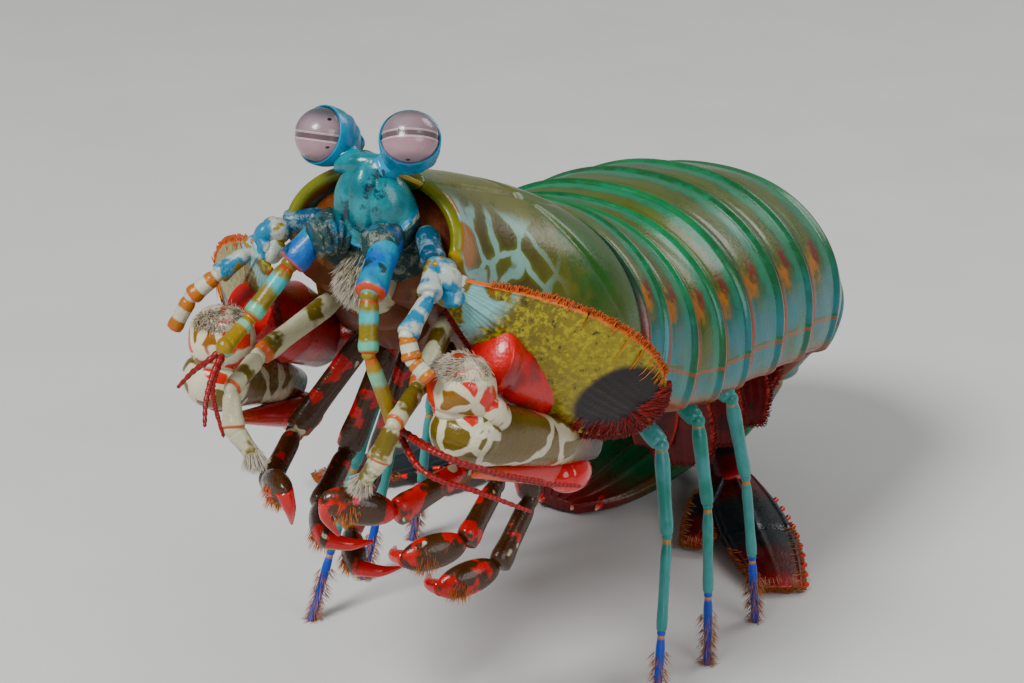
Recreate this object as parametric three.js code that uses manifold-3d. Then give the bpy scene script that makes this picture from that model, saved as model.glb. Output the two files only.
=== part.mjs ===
// A life-size peacock mantis shrimp at rest, its head raised and its abdomen curled beneath it.
// Millimetres. +Z is up, the head points to -Y, and the animal's left side is at +X.
import * as THREE from 'three';
import { mergeVertices } from 'three/addons/utils/BufferGeometryUtils.js';
import Module from 'manifold-3d';

// Driving sizes of the body
const BODY_LENGTH = 150;
const UNIT = BODY_LENGTH / 150;
const AXIS_HEIGHT = 37.6 * UNIT;
const AXIS_START = -1.5 * UNIT;
const SEAM = 0.3 * UNIT;
const SLIVER = 0.09 * UNIT;
const FLOOR_BITE = 0.35 * UNIT;
const ORIGIN_SHIFT = new THREE.Vector3(-8.26, 13.90, 0);
const RAD = Math.PI / 180;

// Each somite: length, slope of its axis, half width, height of its back and depth of its belly
const SOMITES = {
  thorax_5: { length: 3.8, slope: -24, wide: 17.7, tall: 14.4, deep: 5.4 },
  thorax_6: { length: 8.0, slope: -22, wide: 18.0, tall: 14.6, deep: 5.6 },
  thorax_7: { length: 7.2, slope: -11, wide: 18.3, tall: 14.9, deep: 5.8 },
  thorax_8: { length: 6.4, slope: -3, wide: 18.6, tall: 15.2, deep: 6.0 },
  abdomen_1: { length: 9.2, slope: -7, wide: 18.9, tall: 15.6, deep: 6.2 },
  abdomen_2: { length: 9.0, slope: -8, wide: 19.1, tall: 15.8, deep: 6.2 },
  abdomen_3: { length: 9.6, slope: -10, wide: 19.1, tall: 15.7, deep: 6.2 },
  abdomen_4: { length: 10.2, slope: -29, wide: 18.8, tall: 14.8, deep: 6.0 },
  abdomen_5: { length: 9.8, slope: -72, wide: 17.8, tall: 12.4, deep: 5.4 },
  abdomen_6: { length: 9.0, slope: -124, wide: 15.0, tall: 7.4, deep: 4.6 },
};
const TAIL_SWING = -9 * UNIT;
const TAIL_SWING_FROM = 54 * UNIT;
const TAIL_SWING_RUN = 30 * UNIT;
const TAIL_END = { slope: -168, wide: 0.86, tall: 0.6, deep: 0.55 };
const EDGE_STEP = 0.45 * UNIT;
const SKIRT_DROP = 1.6 * UNIT;

// Carapace
const CARAPACE_LENGTH = 30.5 * UNIT;
const CARAPACE_RISE = 34;
const CARAPACE_TILT = 24;
const REAR_TILT = 13;
const CARAPACE_THICK = 1.1 * UNIT;
const CARAPACE_FRONT_WIDE = 9.4 * UNIT;
const CARAPACE_FRONT_TALL = 6.6 * UNIT;

const wasm = await Module();
wasm.setup();
const { Manifold, Mesh: SolidMesh } = wasm;

const vec = (x, y, z) => new THREE.Vector3(x, y, z);
const sized = (lengths) => lengths.map((length) => length * UNIT);
const mix = (a, b, t) => a + (b - a) * t;
const smooth = (t) => {
  const c = Math.min(1, Math.max(0, t));
  return c * c * (3 - 2 * c);
};

// A closed skin over rings of equal count, with a fan over each end
function loft(rings) {
  const count = rings[0].length;
  const points = rings.flat();
  const faces = [];
  for (let r = 0; r + 1 < rings.length; r += 1) {
    for (let i = 0; i < count; i += 1) {
      const a = r * count + i;
      const b = r * count + ((i + 1) % count);
      faces.push(a, b, a + count, b, b + count, a + count);
    }
  }
  [0, rings.length - 1].forEach((r) => {
    const middle = rings[r].reduce((sum, p) => sum.add(p), vec(0, 0, 0)).divideScalar(count);
    const hub = points.length;
    points.push(middle);
    for (let i = 0; i < count; i += 1) {
      const a = r * count + i;
      const b = r * count + ((i + 1) % count);
      if (r === 0) faces.push(b, a, hub);
      else faces.push(a, b, hub);
    }
  });
  return solidFrom(points, faces);
}

// A closed sheet between two faces, each given by at(u, v, side) with side 1 or -1
function sheet(at, columns, rows) {
  const points = [];
  const faces = [];
  const index = (side, i, j) => (side > 0 ? 0 : (columns + 1) * (rows + 1)) + j * (columns + 1) + i;
  [1, -1].forEach((side) => {
    for (let j = 0; j <= rows; j += 1) {
      for (let i = 0; i <= columns; i += 1) points.push(at(i / columns, j / rows, side));
    }
  });
  for (let j = 0; j < rows; j += 1) {
    for (let i = 0; i < columns; i += 1) {
      [1, -1].forEach((side) => {
        const a = index(side, i, j);
        const b = index(side, i + 1, j);
        const c = index(side, i + 1, j + 1);
        const d = index(side, i, j + 1);
        if (side > 0) faces.push(a, b, c, a, c, d);
        else faces.push(a, c, b, a, d, c);
      });
    }
  }
  const wall = (a, b, c, d) => faces.push(a, c, b, b, c, d);
  for (let i = 0; i < columns; i += 1) {
    wall(index(1, i, 0), index(1, i + 1, 0), index(-1, i, 0), index(-1, i + 1, 0));
    wall(index(1, i + 1, rows), index(1, i, rows), index(-1, i + 1, rows), index(-1, i, rows));
  }
  for (let j = 0; j < rows; j += 1) {
    wall(index(1, 0, j + 1), index(1, 0, j), index(-1, 0, j + 1), index(-1, 0, j));
    wall(index(1, columns, j), index(1, columns, j + 1), index(-1, columns, j), index(-1, columns, j + 1));
  }
  return solidFrom(points, faces);
}

// Points and faces to a solid whose faces look outward
function solidFrom(points, faces) {
  const mesh = new SolidMesh({
    numProp: 3,
    vertProperties: new Float32Array(points.flatMap((p) => [p.x, p.y, p.z])),
    triVerts: new Uint32Array(faces),
  });
  const solid = new Manifold(mesh);
  if (solid.volume() >= 0) return solid;
  const turned = [];
  for (let f = 0; f < faces.length; f += 3) turned.push(faces[f], faces[f + 2], faces[f + 1]);
  return solidFrom(points, turned);
}

function toGeometry(solid) {
  const mesh = solid.getMesh();
  const geometry = new THREE.BufferGeometry();
  geometry.setAttribute('position', new THREE.BufferAttribute(new Float32Array(mesh.vertProperties), 3));
  geometry.setIndex(new THREE.BufferAttribute(new Uint32Array(mesh.triVerts), 1));
  return mergeVertices(geometry, 1e-3);
}

// The same solid with its skin moved outward, which leaves a seam when it is cut from a neighbour
function grown(solid, distance) {
  const geometry = toGeometry(solid);
  geometry.computeVertexNormals();
  const { position, normal } = geometry.attributes;
  const points = [];
  for (let i = 0; i < position.count; i += 1) {
    const p = new THREE.Vector3().fromBufferAttribute(position, i);
    points.push(p.addScaledVector(new THREE.Vector3().fromBufferAttribute(normal, i), distance));
  }
  return solidFrom(points, Array.from(geometry.index.array));
}

const largest = (solid) => solid.simplify(SLIVER).decompose().sort((a, b) => b.volume() - a.volume())[0];
const joined = (solids) => largest(Manifold.union(solids));
const without = (solid, others) => largest(others.reduce((rest, o) => rest.subtract(grown(o, SEAM)), solid));

// An egg-shaped ball with its long axis along a direction
function ball(center, radii, along = vec(0, 0, 1), across = vec(1, 0, 0), sides = 12) {
  const w = along.clone().normalize();
  const u = across.clone().addScaledVector(w, -across.dot(w)).normalize();
  const v = w.clone().cross(u);
  const rows = Math.round(sides * 0.6);
  const rings = [];
  for (let j = 1; j < rows; j += 1) {
    const polar = (Math.PI * j) / rows;
    const ring = [];
    for (let i = 0; i < sides; i += 1) {
      const turn = (2 * Math.PI * i) / sides;
      ring.push(center.clone()
        .addScaledVector(u, radii[0] * Math.sin(polar) * Math.cos(turn))
        .addScaledVector(v, radii[1] * Math.sin(polar) * Math.sin(turn))
        .addScaledVector(w, -radii[2] * Math.cos(polar)));
    }
    rings.push(ring);
  }
  return loft(rings);
}

// A jointed limb: a smooth run through its joints, waisted at each one, oval across
function limb({ joints, radii, across, flat = 1, sides = 8, steps = 4, waist = 0.2 }) {
  const curve = new THREE.CatmullRomCurve3(joints, false, 'centripetal');
  const spans = joints.length - 1;
  const rings = [];
  for (let k = 0; k <= spans * steps; k += 1) {
    const t = k / (spans * steps);
    const place = t * spans;
    const span = Math.min(spans - 1, Math.floor(place));
    const toJoint = Math.min(place - span, span + 1 - place);
    const inner = place > 0.4 && place < spans - 0.4;
    const pinch = inner ? 1 - waist * Math.max(0, 1 - toJoint * 4) : 1;
    const radius = mix(radii[span], radii[span + 1], place - span) * pinch;
    const tangent = curve.getTangent(t);
    const u = across.clone().addScaledVector(tangent, -across.dot(tangent)).normalize();
    const v = tangent.clone().cross(u);
    const middle = curve.getPoint(t);
    const ring = [];
    for (let i = 0; i < sides; i += 1) {
      const turn = (2 * Math.PI * i) / sides;
      ring.push(middle.clone()
        .addScaledVector(u, radius * Math.cos(turn))
        .addScaledVector(v, radius * flat * Math.sin(turn)));
    }
    rings.push(ring);
  }
  return loft(rings);
}

const bell = (u) => Math.sin(Math.PI * u);

// A thin blade from root to tip, wide across, domed, its half width set by outline(u)
function blade({ root, tip, across, width, thick, outline, dome = 0, arch = bell, columns = 10, rows = 6 }) {
  const along = tip.clone().sub(root);
  const unit = along.clone().normalize();
  const side = across.clone().addScaledVector(unit, -across.dot(unit)).normalize();
  const normal = unit.clone().cross(side);
  return sheet((u, v, face) => {
    const w = 2 * v - 1;
    const level = dome * (1 - w * w) * arch(u) + (face * thick * (1 - 0.55 * w * w)) / 2;
    return root.clone()
      .addScaledVector(along, u)
      .addScaledVector(side, w * width * outline(u))
      .addScaledVector(normal, level);
  }, columns, rows);
}

// Body axis: stations with the middle, slope and size at each somite's edge
function bodyStations() {
  const list = Object.values(SOMITES);
  const stations = [];
  const place = vec(0, AXIS_START, AXIS_HEIGHT);
  let run = 0;
  list.forEach((s, i) => {
    const tilt = i ? (list[i - 1].slope + s.slope) / 2 : -REAR_TILT;
    stations.push({
      middle: place.clone(), run, slope: tilt, wide: s.wide, tall: s.tall, deep: s.deep,
    });
    place.y += s.length * UNIT * Math.cos(s.slope * RAD);
    place.z += s.length * UNIT * Math.sin(s.slope * RAD);
    run += s.length * UNIT;
    place.x = TAIL_SWING * smooth((run - TAIL_SWING_FROM) / TAIL_SWING_RUN);
  });
  const last = list[list.length - 1];
  stations.push({
    middle: place.clone(),
    run,
    slope: TAIL_END.slope,
    wide: last.wide * TAIL_END.wide,
    tall: last.tall * TAIL_END.tall,
    deep: last.deep * TAIL_END.deep,
  });
  return stations;
}
const stations = bodyStations();

// One D-shaped section of the body: a round back, a drooping rim on each side and a flat belly
function section({ middle, slope, wide, tall, deep }, grow = 0, sides = 28) {
  const up = vec(0, -Math.sin(slope * RAD), Math.cos(slope * RAD));
  const ring = [];
  for (let i = 0; i < sides; i += 1) {
    const turn = (2 * Math.PI * i) / sides;
    const c = Math.cos(turn);
    const s = Math.sin(turn);
    const x = (wide * UNIT + grow) * Math.sign(c) * Math.abs(c) ** (s < 0 ? 0.55 : 0.92);
    const rim = s < 0 ? -SKIRT_DROP * Math.abs(c) ** 3 * Math.min(1, -s * 3) : 0;
    const z = s > 0 ? (tall * UNIT + grow) * s : deep * UNIT * -(Math.abs(s) ** 0.7) + rim;
    ring.push(middle.clone().add(vec(x, 0, 0)).addScaledVector(up, z));
  }
  return ring;
}

function blend(a, b, t) {
  const size = (key) => mix(a[key], b[key], t);
  return {
    middle: a.middle.clone().lerp(b.middle, t),
    slope: size('slope'),
    wide: size('wide'),
    tall: size('tall'),
    deep: size('deep'),
  };
}

// A somite's ring: a flared rear edge that overhangs the next somite's front
function somite(index) {
  const front = stations[index];
  const back = stations[index + 1];
  const length = front.middle.distanceTo(back.middle);
  const gap = SEAM / 2 / length;
  const bow = 0.09 * length * Math.abs(front.slope - back.slope) / 60;
  const rings = [gap, 0.2, 0.5, 0.8, 1 - gap].map((t) => {
    const part = blend(front, back, t);
    const outward = vec(0, -Math.sin(part.slope * RAD), Math.cos(part.slope * RAD));
    part.middle.addScaledVector(outward, bow * 4 * t * (1 - t));
    return section(part, EDGE_STEP * (t * t - 0.35));
  });
  return loft(rings);
}

// Carapace and trunk share one sloping axis, from the rear edge forward to the face
function shieldStation(t) {
  const forward = CARAPACE_LENGTH * t * Math.cos(CARAPACE_RISE * RAD);
  const higher = CARAPACE_LENGTH * t * Math.sin(CARAPACE_RISE * RAD);
  const ease = smooth(t * 1.1);
  return {
    middle: vec(0, AXIS_START - forward, AXIS_HEIGHT + higher),
    slope: -mix(REAR_TILT, CARAPACE_TILT, Math.min(1, t * 2.2)),
    wide: mix(17, CARAPACE_FRONT_WIDE / UNIT, ease ** 1.15),
    tall: mix(14.2, CARAPACE_FRONT_TALL / UNIT, t ** 1.3),
    deep: mix(5.2, 4.6, t),
  };
}

function shieldPoint(t, turn, inset) {
  const part = shieldStation(t);
  const up = vec(0, -Math.sin(part.slope * RAD), Math.cos(part.slope * RAD));
  const angle = mix(-16, 196, turn) * RAD;
  const c = Math.cos(angle);
  const s = Math.sin(angle);
  const x = (part.wide * UNIT - inset) * Math.sign(c) * Math.abs(c) ** 0.92;
  return part.middle.clone().add(vec(x, 0, 0)).addScaledVector(up, (part.tall * UNIT - inset) * s);
}

const solids = {};
const palette = {};
function add(name, solid, colour) {
  solids[name] = solid;
  palette[name] = colour;
}
const mirror = (p) => vec(-p.x, p.y, p.z);

const COLOUR = {
  shell: 0x5f7a2a, green: 0x1f7a55, blue: 0x2f8fb8, eye: 0xb9a2ac, olive: 0x9a9420, orange: 0xd8641c,
  red: 0xc8281a, cream: 0xe6dcc0, teal: 0x5fb7ae, maroon: 0x5a1420,
};

add('carapace', sheet((u, v, face) => {
  const t = mix(0.012, 1, u);
  return shieldPoint(t, v, face > 0 ? 0 : CARAPACE_THICK);
}, 9, 22), COLOUR.shell);

// Trunk under the shield: head and the first four thoracic somites
const TRUNK_INSET = CARAPACE_THICK + SEAM + 0.12 * UNIT;
function trunkRing(t) {
  const part = shieldStation(t);
  part.wide -= TRUNK_INSET / UNIT;
  part.tall -= TRUNK_INSET / UNIT;
  part.deep *= 1.1;
  return section(part, 0, 24);
}
add('trunk', loft([0.012, 0.25, 0.5, 0.75, 0.94].map(trunkRing)), COLOUR.orange);
Object.keys(SOMITES).forEach((name, i) => add(name, somite(i), COLOUR.green));

// Rostral plate: a small shield in front of the carapace, over the root of the eyes
const ROSTRUM_LENGTH = 4.6 * UNIT;
const ROSTRUM_RISE = 28;
const rostrumRoot = shieldPoint(1, 0.5, CARAPACE_THICK / 2).add(vec(0, -SEAM, 0));
const rostrumRun = vec(0, -Math.cos(ROSTRUM_RISE * RAD), Math.sin(ROSTRUM_RISE * RAD));
const rostrum = blade({
  root: rostrumRoot.clone().addScaledVector(vec(0, 0, -1), 0.7 * UNIT),
  tip: rostrumRoot.clone().addScaledVector(rostrumRun, ROSTRUM_LENGTH),
  across: vec(1, 0, 0), width: 4.4 * UNIT, thick: 0.9 * UNIT, columns: 5, rows: 6,
  outline: (u) => 1 - 0.8 * u ** 1.6, dome: -0.8 * UNIT, arch: (u) => 1 - 0.6 * u,
});
add('rostral_plate', without(rostrum, [solids.carapace, solids.trunk]), COLOUR.shell);

// Eyes: the left one turned up and the right one outward
const EYE_RADIUS = 2.62 * UNIT;
const CUP = { back: 3.5, rim: 1.15, backRadius: 1.8, rimRadius: 3.15, neckRadius: 1.5 };
const EYES = [
  { side: 'left', hand: 1, globe: vec(5.26, -28.41, 65.02), look: vec(0.369, -0.624, 0.689) },
  { side: 'right', hand: -1, globe: vec(-4.6, -27.4, 63.75), look: vec(-0.286, -0.872, 0.397) },
];
EYES.forEach(({ side, globe, look }) => {
  const radii = [EYE_RADIUS, EYE_RADIUS * 1.04, EYE_RADIUS * 0.98];
  add(`eye_${side}`, ball(globe.clone().multiplyScalar(UNIT), radii, look, vec(0, 0, 1), 16), COLOUR.eye);
});

// Head: the blue face in front of the trunk
const FACE = vec(0, -26.4, 56.6).multiplyScalar(UNIT);
const FACE_UP = vec(0, -0.34, 0.94);
const headBase = joined([
  ball(FACE, [4.6, 3.2, 5.6].map((r) => r * UNIT), FACE_UP, vec(1, 0, 0), 14),
  ball(FACE.clone().add(vec(0, 1.6, -3.6)), [6.0, 3.6, 3.4].map((r) => r * UNIT), FACE_UP, vec(1, 0, 0), 12),
  limb({
    joints: [FACE.clone().add(vec(-2.2, -1.4, 4.8)), FACE.clone().add(vec(2.2, -1.4, 4.8))],
    radii: [1.7, 1.7], across: vec(0, 1, 0), steps: 2,
  }),
]);
const behindFace = [solids.trunk, solids.carapace, solids.rostral_plate];
add('head', without(headBase, [...behindFace, solids.eye_left, solids.eye_right]), COLOUR.blue);

// Eyestalks: a flaring cup behind each globe, on a short neck
EYES.forEach(({ side, hand, globe, look }) => {
  const upright = vec(0, 0, 1);
  const axis = look.clone().normalize();
  const behind = (distance) => globe.clone().addScaledVector(axis, -distance).multiplyScalar(UNIT);
  const stalkRoot = vec(hand * 2.0 * UNIT, FACE.y - 1.4 * UNIT, FACE.z + 4.6 * UNIT);
  const cup = joined([
    limb({
      joints: [behind(CUP.back), behind(CUP.rim)], radii: [CUP.backRadius * UNIT, CUP.rimRadius * UNIT],
      across: upright, sides: 14, steps: 3,
    }),
    limb({
      joints: [stalkRoot, behind(CUP.back * 0.8)], radii: [CUP.neckRadius * UNIT, CUP.backRadius * UNIT],
      across: upright, sides: 10, steps: 2,
    }),
  ]);
  const near = [solids[`eye_${side}`], solids.head, solids.rostral_plate, solids.carapace];
  add(`eyestalk_${side}`, without(cup, near), COLOUR.blue);
});

// Antennules: three stout articles, then three thin whips
const ANTENNULE = {
  left: {
    joints: [vec(3.0, -27.4, 56.4), vec(4.58, -34.5, 51.75), vec(5.4, -36.0, 46.8), vec(7.48, -34.03, 38.45)],
    whips: [[vec(14.85, -36.4, 38.4), vec(19.4, -30.8, 35.4), vec(22.8, -26.9, 34.2)],
      [vec(13.4, -37.8, 39.5), vec(17.8, -34.4, 37.2), vec(21.3, -31.4, 36.0)],
      [vec(12.0, -37.4, 37.2), vec(16.6, -35.0, 35.2), vec(20.5, -32.4, 33.2)]],
  },
  right: {
    joints: [vec(-3.0, -27.2, 56.4), vec(-6.2, -30.8, 51.9), vec(-8.2, -34.6, 47.4), vec(-8.8, -38.0, 45.4)],
    whips: [[vec(-10.0, -38.8, 44.2), vec(-11.7, -39.0, 42.8), vec(-13.4, -39.2, 40.9)],
      [vec(-9.4, -38.8, 42.8), vec(-9.6, -38.9, 40.6), vec(-8.5, -38.9, 36.8)],
      [vec(-8.6, -40.2, 43.6), vec(-8.4, -41.8, 41.4), vec(-7.8, -43.0, 39.4)]],
  },
};
const ANTENNULE_RADII = [1.75, 1.35, 0.9, 0.75];
const WHIP_RADII = [0.55, 0.48, 0.38, 0.26];
Object.entries(ANTENNULE).forEach(([side, { joints, whips }]) => {
  const scaled = joints.map((p) => p.clone().multiplyScalar(UNIT));
  const end = scaled[scaled.length - 1];
  const stem = limb({ joints: scaled, radii: sized(ANTENNULE_RADII), across: vec(1, 0, 0), sides: 7 });
  const lashes = whips.map((whip) => limb({
    joints: [end.clone().lerp(scaled[2], 0.12), ...whip.map((p) => p.clone().multiplyScalar(UNIT))],
    radii: sized(WHIP_RADII),
    across: vec(0, 1, 0.2),
    sides: 5,
    steps: 3,
    waist: 0,
  }));
  add(`antennule_${side}`, without(joined([stem, ...lashes]), [solids.head]), COLOUR.blue);
});

// Antennae: a knobbed base, a jointed inner branch, and the broad scale
const ANTENNA = {
  left: [vec(5.4, -25.6, 55.6), vec(8.2, -29.0, 54.0), vec(9.3, -31.8, 51.8),
    vec(9.3, -35.9, 49.2), vec(10.2, -36.4, 47.2), vec(12.1, -36.4, 45.7)],
  right: [vec(-5.6, -25.4, 55.0), vec(-9.6, -26.0, 54.2), vec(-12.6, -27.9, 51.3),
    vec(-14.8, -30.1, 49.2), vec(-17.0, -31.4, 47.0), vec(-18.6, -32.2, 43.6)],
};
const ANTENNA_RADII = [1.5, 1.5, 1.1, 0.9, 0.85, 0.75];
const KNOB = { left: vec(9.2, -28.9, 52.4), right: vec(-10.0, -27.6, 52.8), radii: [2.0, 2.0, 2.3] };
const SCALE_ROOT = vec(10.4, -29.0, 51.6).multiplyScalar(UNIT);
const SCALE_TIP = vec(23.58, -13.38, 36.49).multiplyScalar(UNIT);
const SCALE_ACROSS = vec(0.66, 0.18, 0.73);
const SCALE_WIDE = 6.3 * UNIT;
const SCALE_WIDEST = 0.66;
const SCALE_THICK = 0.95 * UNIT;
const SCALE_DOME = 1.1 * UNIT;
// Half width of the scale: it widens from a narrow root, then closes in a round end
function scaleOutline(u) {
  const swell = 0.26 + 0.74 * Math.sin((Math.PI / 2) * Math.min(1, u / SCALE_WIDEST));
  const end = Math.max(0, u - SCALE_WIDEST) / (1.015 - SCALE_WIDEST);
  return swell * Math.sqrt(1 - end * end);
}
[['left', 1], ['right', -1]].forEach(([side, hand]) => {
  const flip = (p) => (hand > 0 ? p.clone() : mirror(p));
  const joints = ANTENNA[side].map((p) => p.clone().multiplyScalar(UNIT));
  const base = joined([
    limb({ joints, radii: sized(ANTENNA_RADII), across: vec(1, 0, 0) }),
    ball(KNOB[side].clone().multiplyScalar(UNIT), sized(KNOB.radii)),
  ]);
  const nearBase = [solids.head, solids.trunk, solids.carapace, solids[`antennule_${side}`]];
  add(`antenna_${side}`, without(base, nearBase), COLOUR.cream);
  const plate = blade({
    root: flip(SCALE_ROOT),
    tip: flip(SCALE_TIP),
    across: flip(SCALE_ACROSS),
    width: SCALE_WIDE,
    thick: SCALE_THICK,
    columns: 12,
    outline: scaleOutline,
    dome: hand * SCALE_DOME,
  });
  const nearScale = [solids[`antenna_${side}`], solids.carapace, solids.trunk];
  add(`antennal_scale_${side}`, without(plate, nearScale), COLOUR.olive);
});

// Raptorial claw, folded: merus forward, wrist and hand turned back below it, finger with its bulb
const CLAW = {
  root: vec(10.8, -9.0, 37.6), merusBack: vec(15.6, -9.8, 36.6), merusFront: vec(13.2, -27.4, 45.2),
  wrist: vec(13.0, -32.2, 43.4), handFront: vec(13.5, -32.4, 39.6), handBack: vec(17.1, -12.4, 32.0),
  bulb: vec(15.2, -14.8, 29.9), fingerTip: vec(13.6, -31.2, 35.0),
};
const HAND = { front: 3.3, back: 1.8, wrist: 3.3, knob: [3.5, 3.4, 3.7] };
const MERUS = { radii: [3.5, 4.2, 2.9], rootRadii: [2.6, 3.2] };
const FINGER = { radii: [2.3, 1.5, 0.5], heel: [2.6, 2.4, 3.3] };
[['left', 1], ['right', -1]].forEach(([side, hand]) => {
  const at = (key) => (hand > 0 ? CLAW[key].clone() : mirror(CLAW[key])).multiplyScalar(UNIT);
  const flank = vec(1, 0, 0);
  const oval = { across: vec(0, 0.3, 1), flat: 0.8, sides: 10, steps: 3 };
  const upright = { ...oval, across: vec(0, 1, 0) };
  const middle = (a, b) => at(a).lerp(at(b), 0.5);
  const handLoft = joined([
    limb({ joints: [at('handFront'), at('handBack')], radii: sized([HAND.front, HAND.back]), ...oval }),
    limb({ joints: [at('wrist'), at('handFront')], radii: sized([HAND.wrist, HAND.front]), ...upright }),
    ball(at('wrist').add(vec(0, 0, 0.6)), sized(HAND.knob), vec(0, 0, 1), flank, 11),
  ]);
  const arm = [at('merusBack'), middle('merusBack', 'merusFront'), at('merusFront')];
  const merus = joined([
    limb({ joints: arm, radii: sized(MERUS.radii), ...oval, waist: 0 }),
    limb({ joints: [at('root'), at('merusBack')], radii: sized(MERUS.rootRadii), ...upright, steps: 2 }),
  ]);
  const spike = [at('bulb'), middle('bulb', 'fingerTip'), at('fingerTip')];
  const finger = joined([
    limb({ joints: spike, radii: sized(FINGER.radii), ...oval, sides: 8, waist: 0 }),
    ball(at('bulb'), sized(FINGER.heel), vec(0, 1, -0.25), flank, 11),
  ]);
  const feelers = [solids[`antennule_${side}`], solids[`antenna_${side}`], solids[`antennal_scale_${side}`]];
  add(`claw_hand_${side}`, without(handLoft, feelers), COLOUR.cream);
  const nearArm = [solids[`claw_hand_${side}`], solids.trunk, solids.carapace, feelers[2], feelers[1]];
  add(`claw_arm_${side}`, without(merus, nearArm), COLOUR.orange);
  add(`claw_finger_${side}`, without(finger, [solids[`claw_hand_${side}`]]), COLOUR.red);
});

// Maxillipeds: a slender cleaning pair in front, then three pairs with small hooked hands
const CLEANER = [
  vec(6.0, -22.0, 46.4), vec(8.6, -32.6, 42.9), vec(8.75, -37.2, 41.0),
  vec(7.8, -38.3, 37.6), vec(6.0, -37.8, 35.2),
];
const CLEANER_RADII = [1.2, 1.0, 0.9, 1.05, 0.7];
const GRASPER_RADII = [1.2, 1.15, 1.5, 1.9];
const HOOK_RADII = [0.9, 0.4];
const GRASPERS = [
  {
    joints: [vec(4.2, -19.0, 42.4), vec(9.4, -25.2, 32.4), vec(7.0, -33.8, 30.6), vec(2.4, -38.2, 32.6)],
    tip: vec(2.6, -36.6, 28.4),
  },
  {
    joints: [vec(4.8, -14.4, 39.4), vec(8.6, -16.6, 27.6), vec(8.4, -22.6, 23.6), vec(4.6, -27.4, 22.8)],
    tip: vec(1.2, -23.8, 22.0),
  },
  {
    joints: [vec(5.2, -9.6, 37.4), vec(9.0, -10.0, 23.6), vec(8.6, -16.0, 18.4), vec(5.0, -21.0, 17.2)],
    tip: vec(1.6, -17.6, 16.6),
  },
];
[['left', 1], ['right', -1]].forEach(([side, hand]) => {
  const flip = (p) => (hand > 0 ? p.clone() : mirror(p)).multiplyScalar(UNIT);
  const neighbours = ['claw_hand', 'claw_arm', 'claw_finger', 'antennule', 'antenna'];
  const near = [solids.trunk, ...neighbours.map((name) => solids[`${name}_${side}`])];
  const cleaner = limb({ joints: CLEANER.map(flip), radii: sized(CLEANER_RADII), across: vec(0, 0.3, 1) });
  add(`maxilliped_1_${side}`, without(cleaner, near), COLOUR.cream);
  GRASPERS.forEach(({ joints, tip }, i) => {
    const oval = { across: vec(0, 0, 1), flat: 0.7 };
    const arm = limb({ joints: joints.map(flip), radii: sized(GRASPER_RADII), ...oval });
    const hook = limb({
      joints: [flip(joints[3]), flip(tip)], radii: sized(HOOK_RADII), across: vec(0, 0, 1), sides: 6, waist: 0,
    });
    add(`maxilliped_${i + 3}_${side}`, without(joined([arm, hook]), near), COLOUR.orange);
  });
});

// Mouth: the upper lip and jaws between the limb bases
const mouth = joined([
  ball(vec(0, -26.4, 49.8).multiplyScalar(UNIT), [3.0, 2.8, 3.0].map((r) => r * UNIT)),
  ball(vec(0, -21.6, 45.2).multiplyScalar(UNIT), [3.4, 3.0, 3.4].map((r) => r * UNIT)),
  ball(vec(0, -24.2, 47.4).multiplyScalar(UNIT), [3.4, 2.8, 2.8].map((r) => r * UNIT)),
]);
add('mouthparts', without(mouth, [solids.trunk, solids.head]), COLOUR.cream);

// Walking legs: three thin pairs that reach the floor
const LEG_OUT = [10.4, 17.0, 19.0, 20.2, 21.2];
const LEG_HEIGHT = [31.0, 26.2, 17.0, 7.5, -FLOOR_BITE];
const LEG_STEP_OUT = 0.5;
const LEG_RADII = [1.7, 1.35, 1.0, 0.85, 0.5];
const LEGS = [
  { somite: 'thorax_6', lean: [0, -1.6, -3.6, -6.8, -9.6] },
  { somite: 'thorax_7', lean: [0, -0.6, -1.4, -3.0, -4.6] },
  { somite: 'thorax_8', lean: [0, 0.6, 1.2, 1.4, 1.0] },
];
const clipFloor = (solid) => largest(solid.trimByPlane([0, 0, 1], 0));
LEGS.forEach(({ somite: host, lean }, i) => {
  const index = Object.keys(SOMITES).indexOf(host);
  const middle = stations[index].middle.clone().lerp(stations[index + 1].middle, 0.5);
  [['left', 1], ['right', -1]].forEach(([side, hand]) => {
    const joints = LEG_OUT.map((out, k) => {
      const aside = hand * (out + i * LEG_STEP_OUT) * UNIT;
      return vec(aside, middle.y + lean[k] * UNIT, LEG_HEIGHT[k] * UNIT);
    });
    const leg = limb({ joints, radii: sized(LEG_RADII), across: vec(0, 1, 0), flat: 0.8 });
    add(`leg_${i + 1}_${side}`, clipFloor(without(leg, [solids[host], ...Object.keys(SOMITES).slice(0, 5)
      .filter((n) => n !== host).map((n) => solids[n])])), COLOUR.teal);
  });
});

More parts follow.
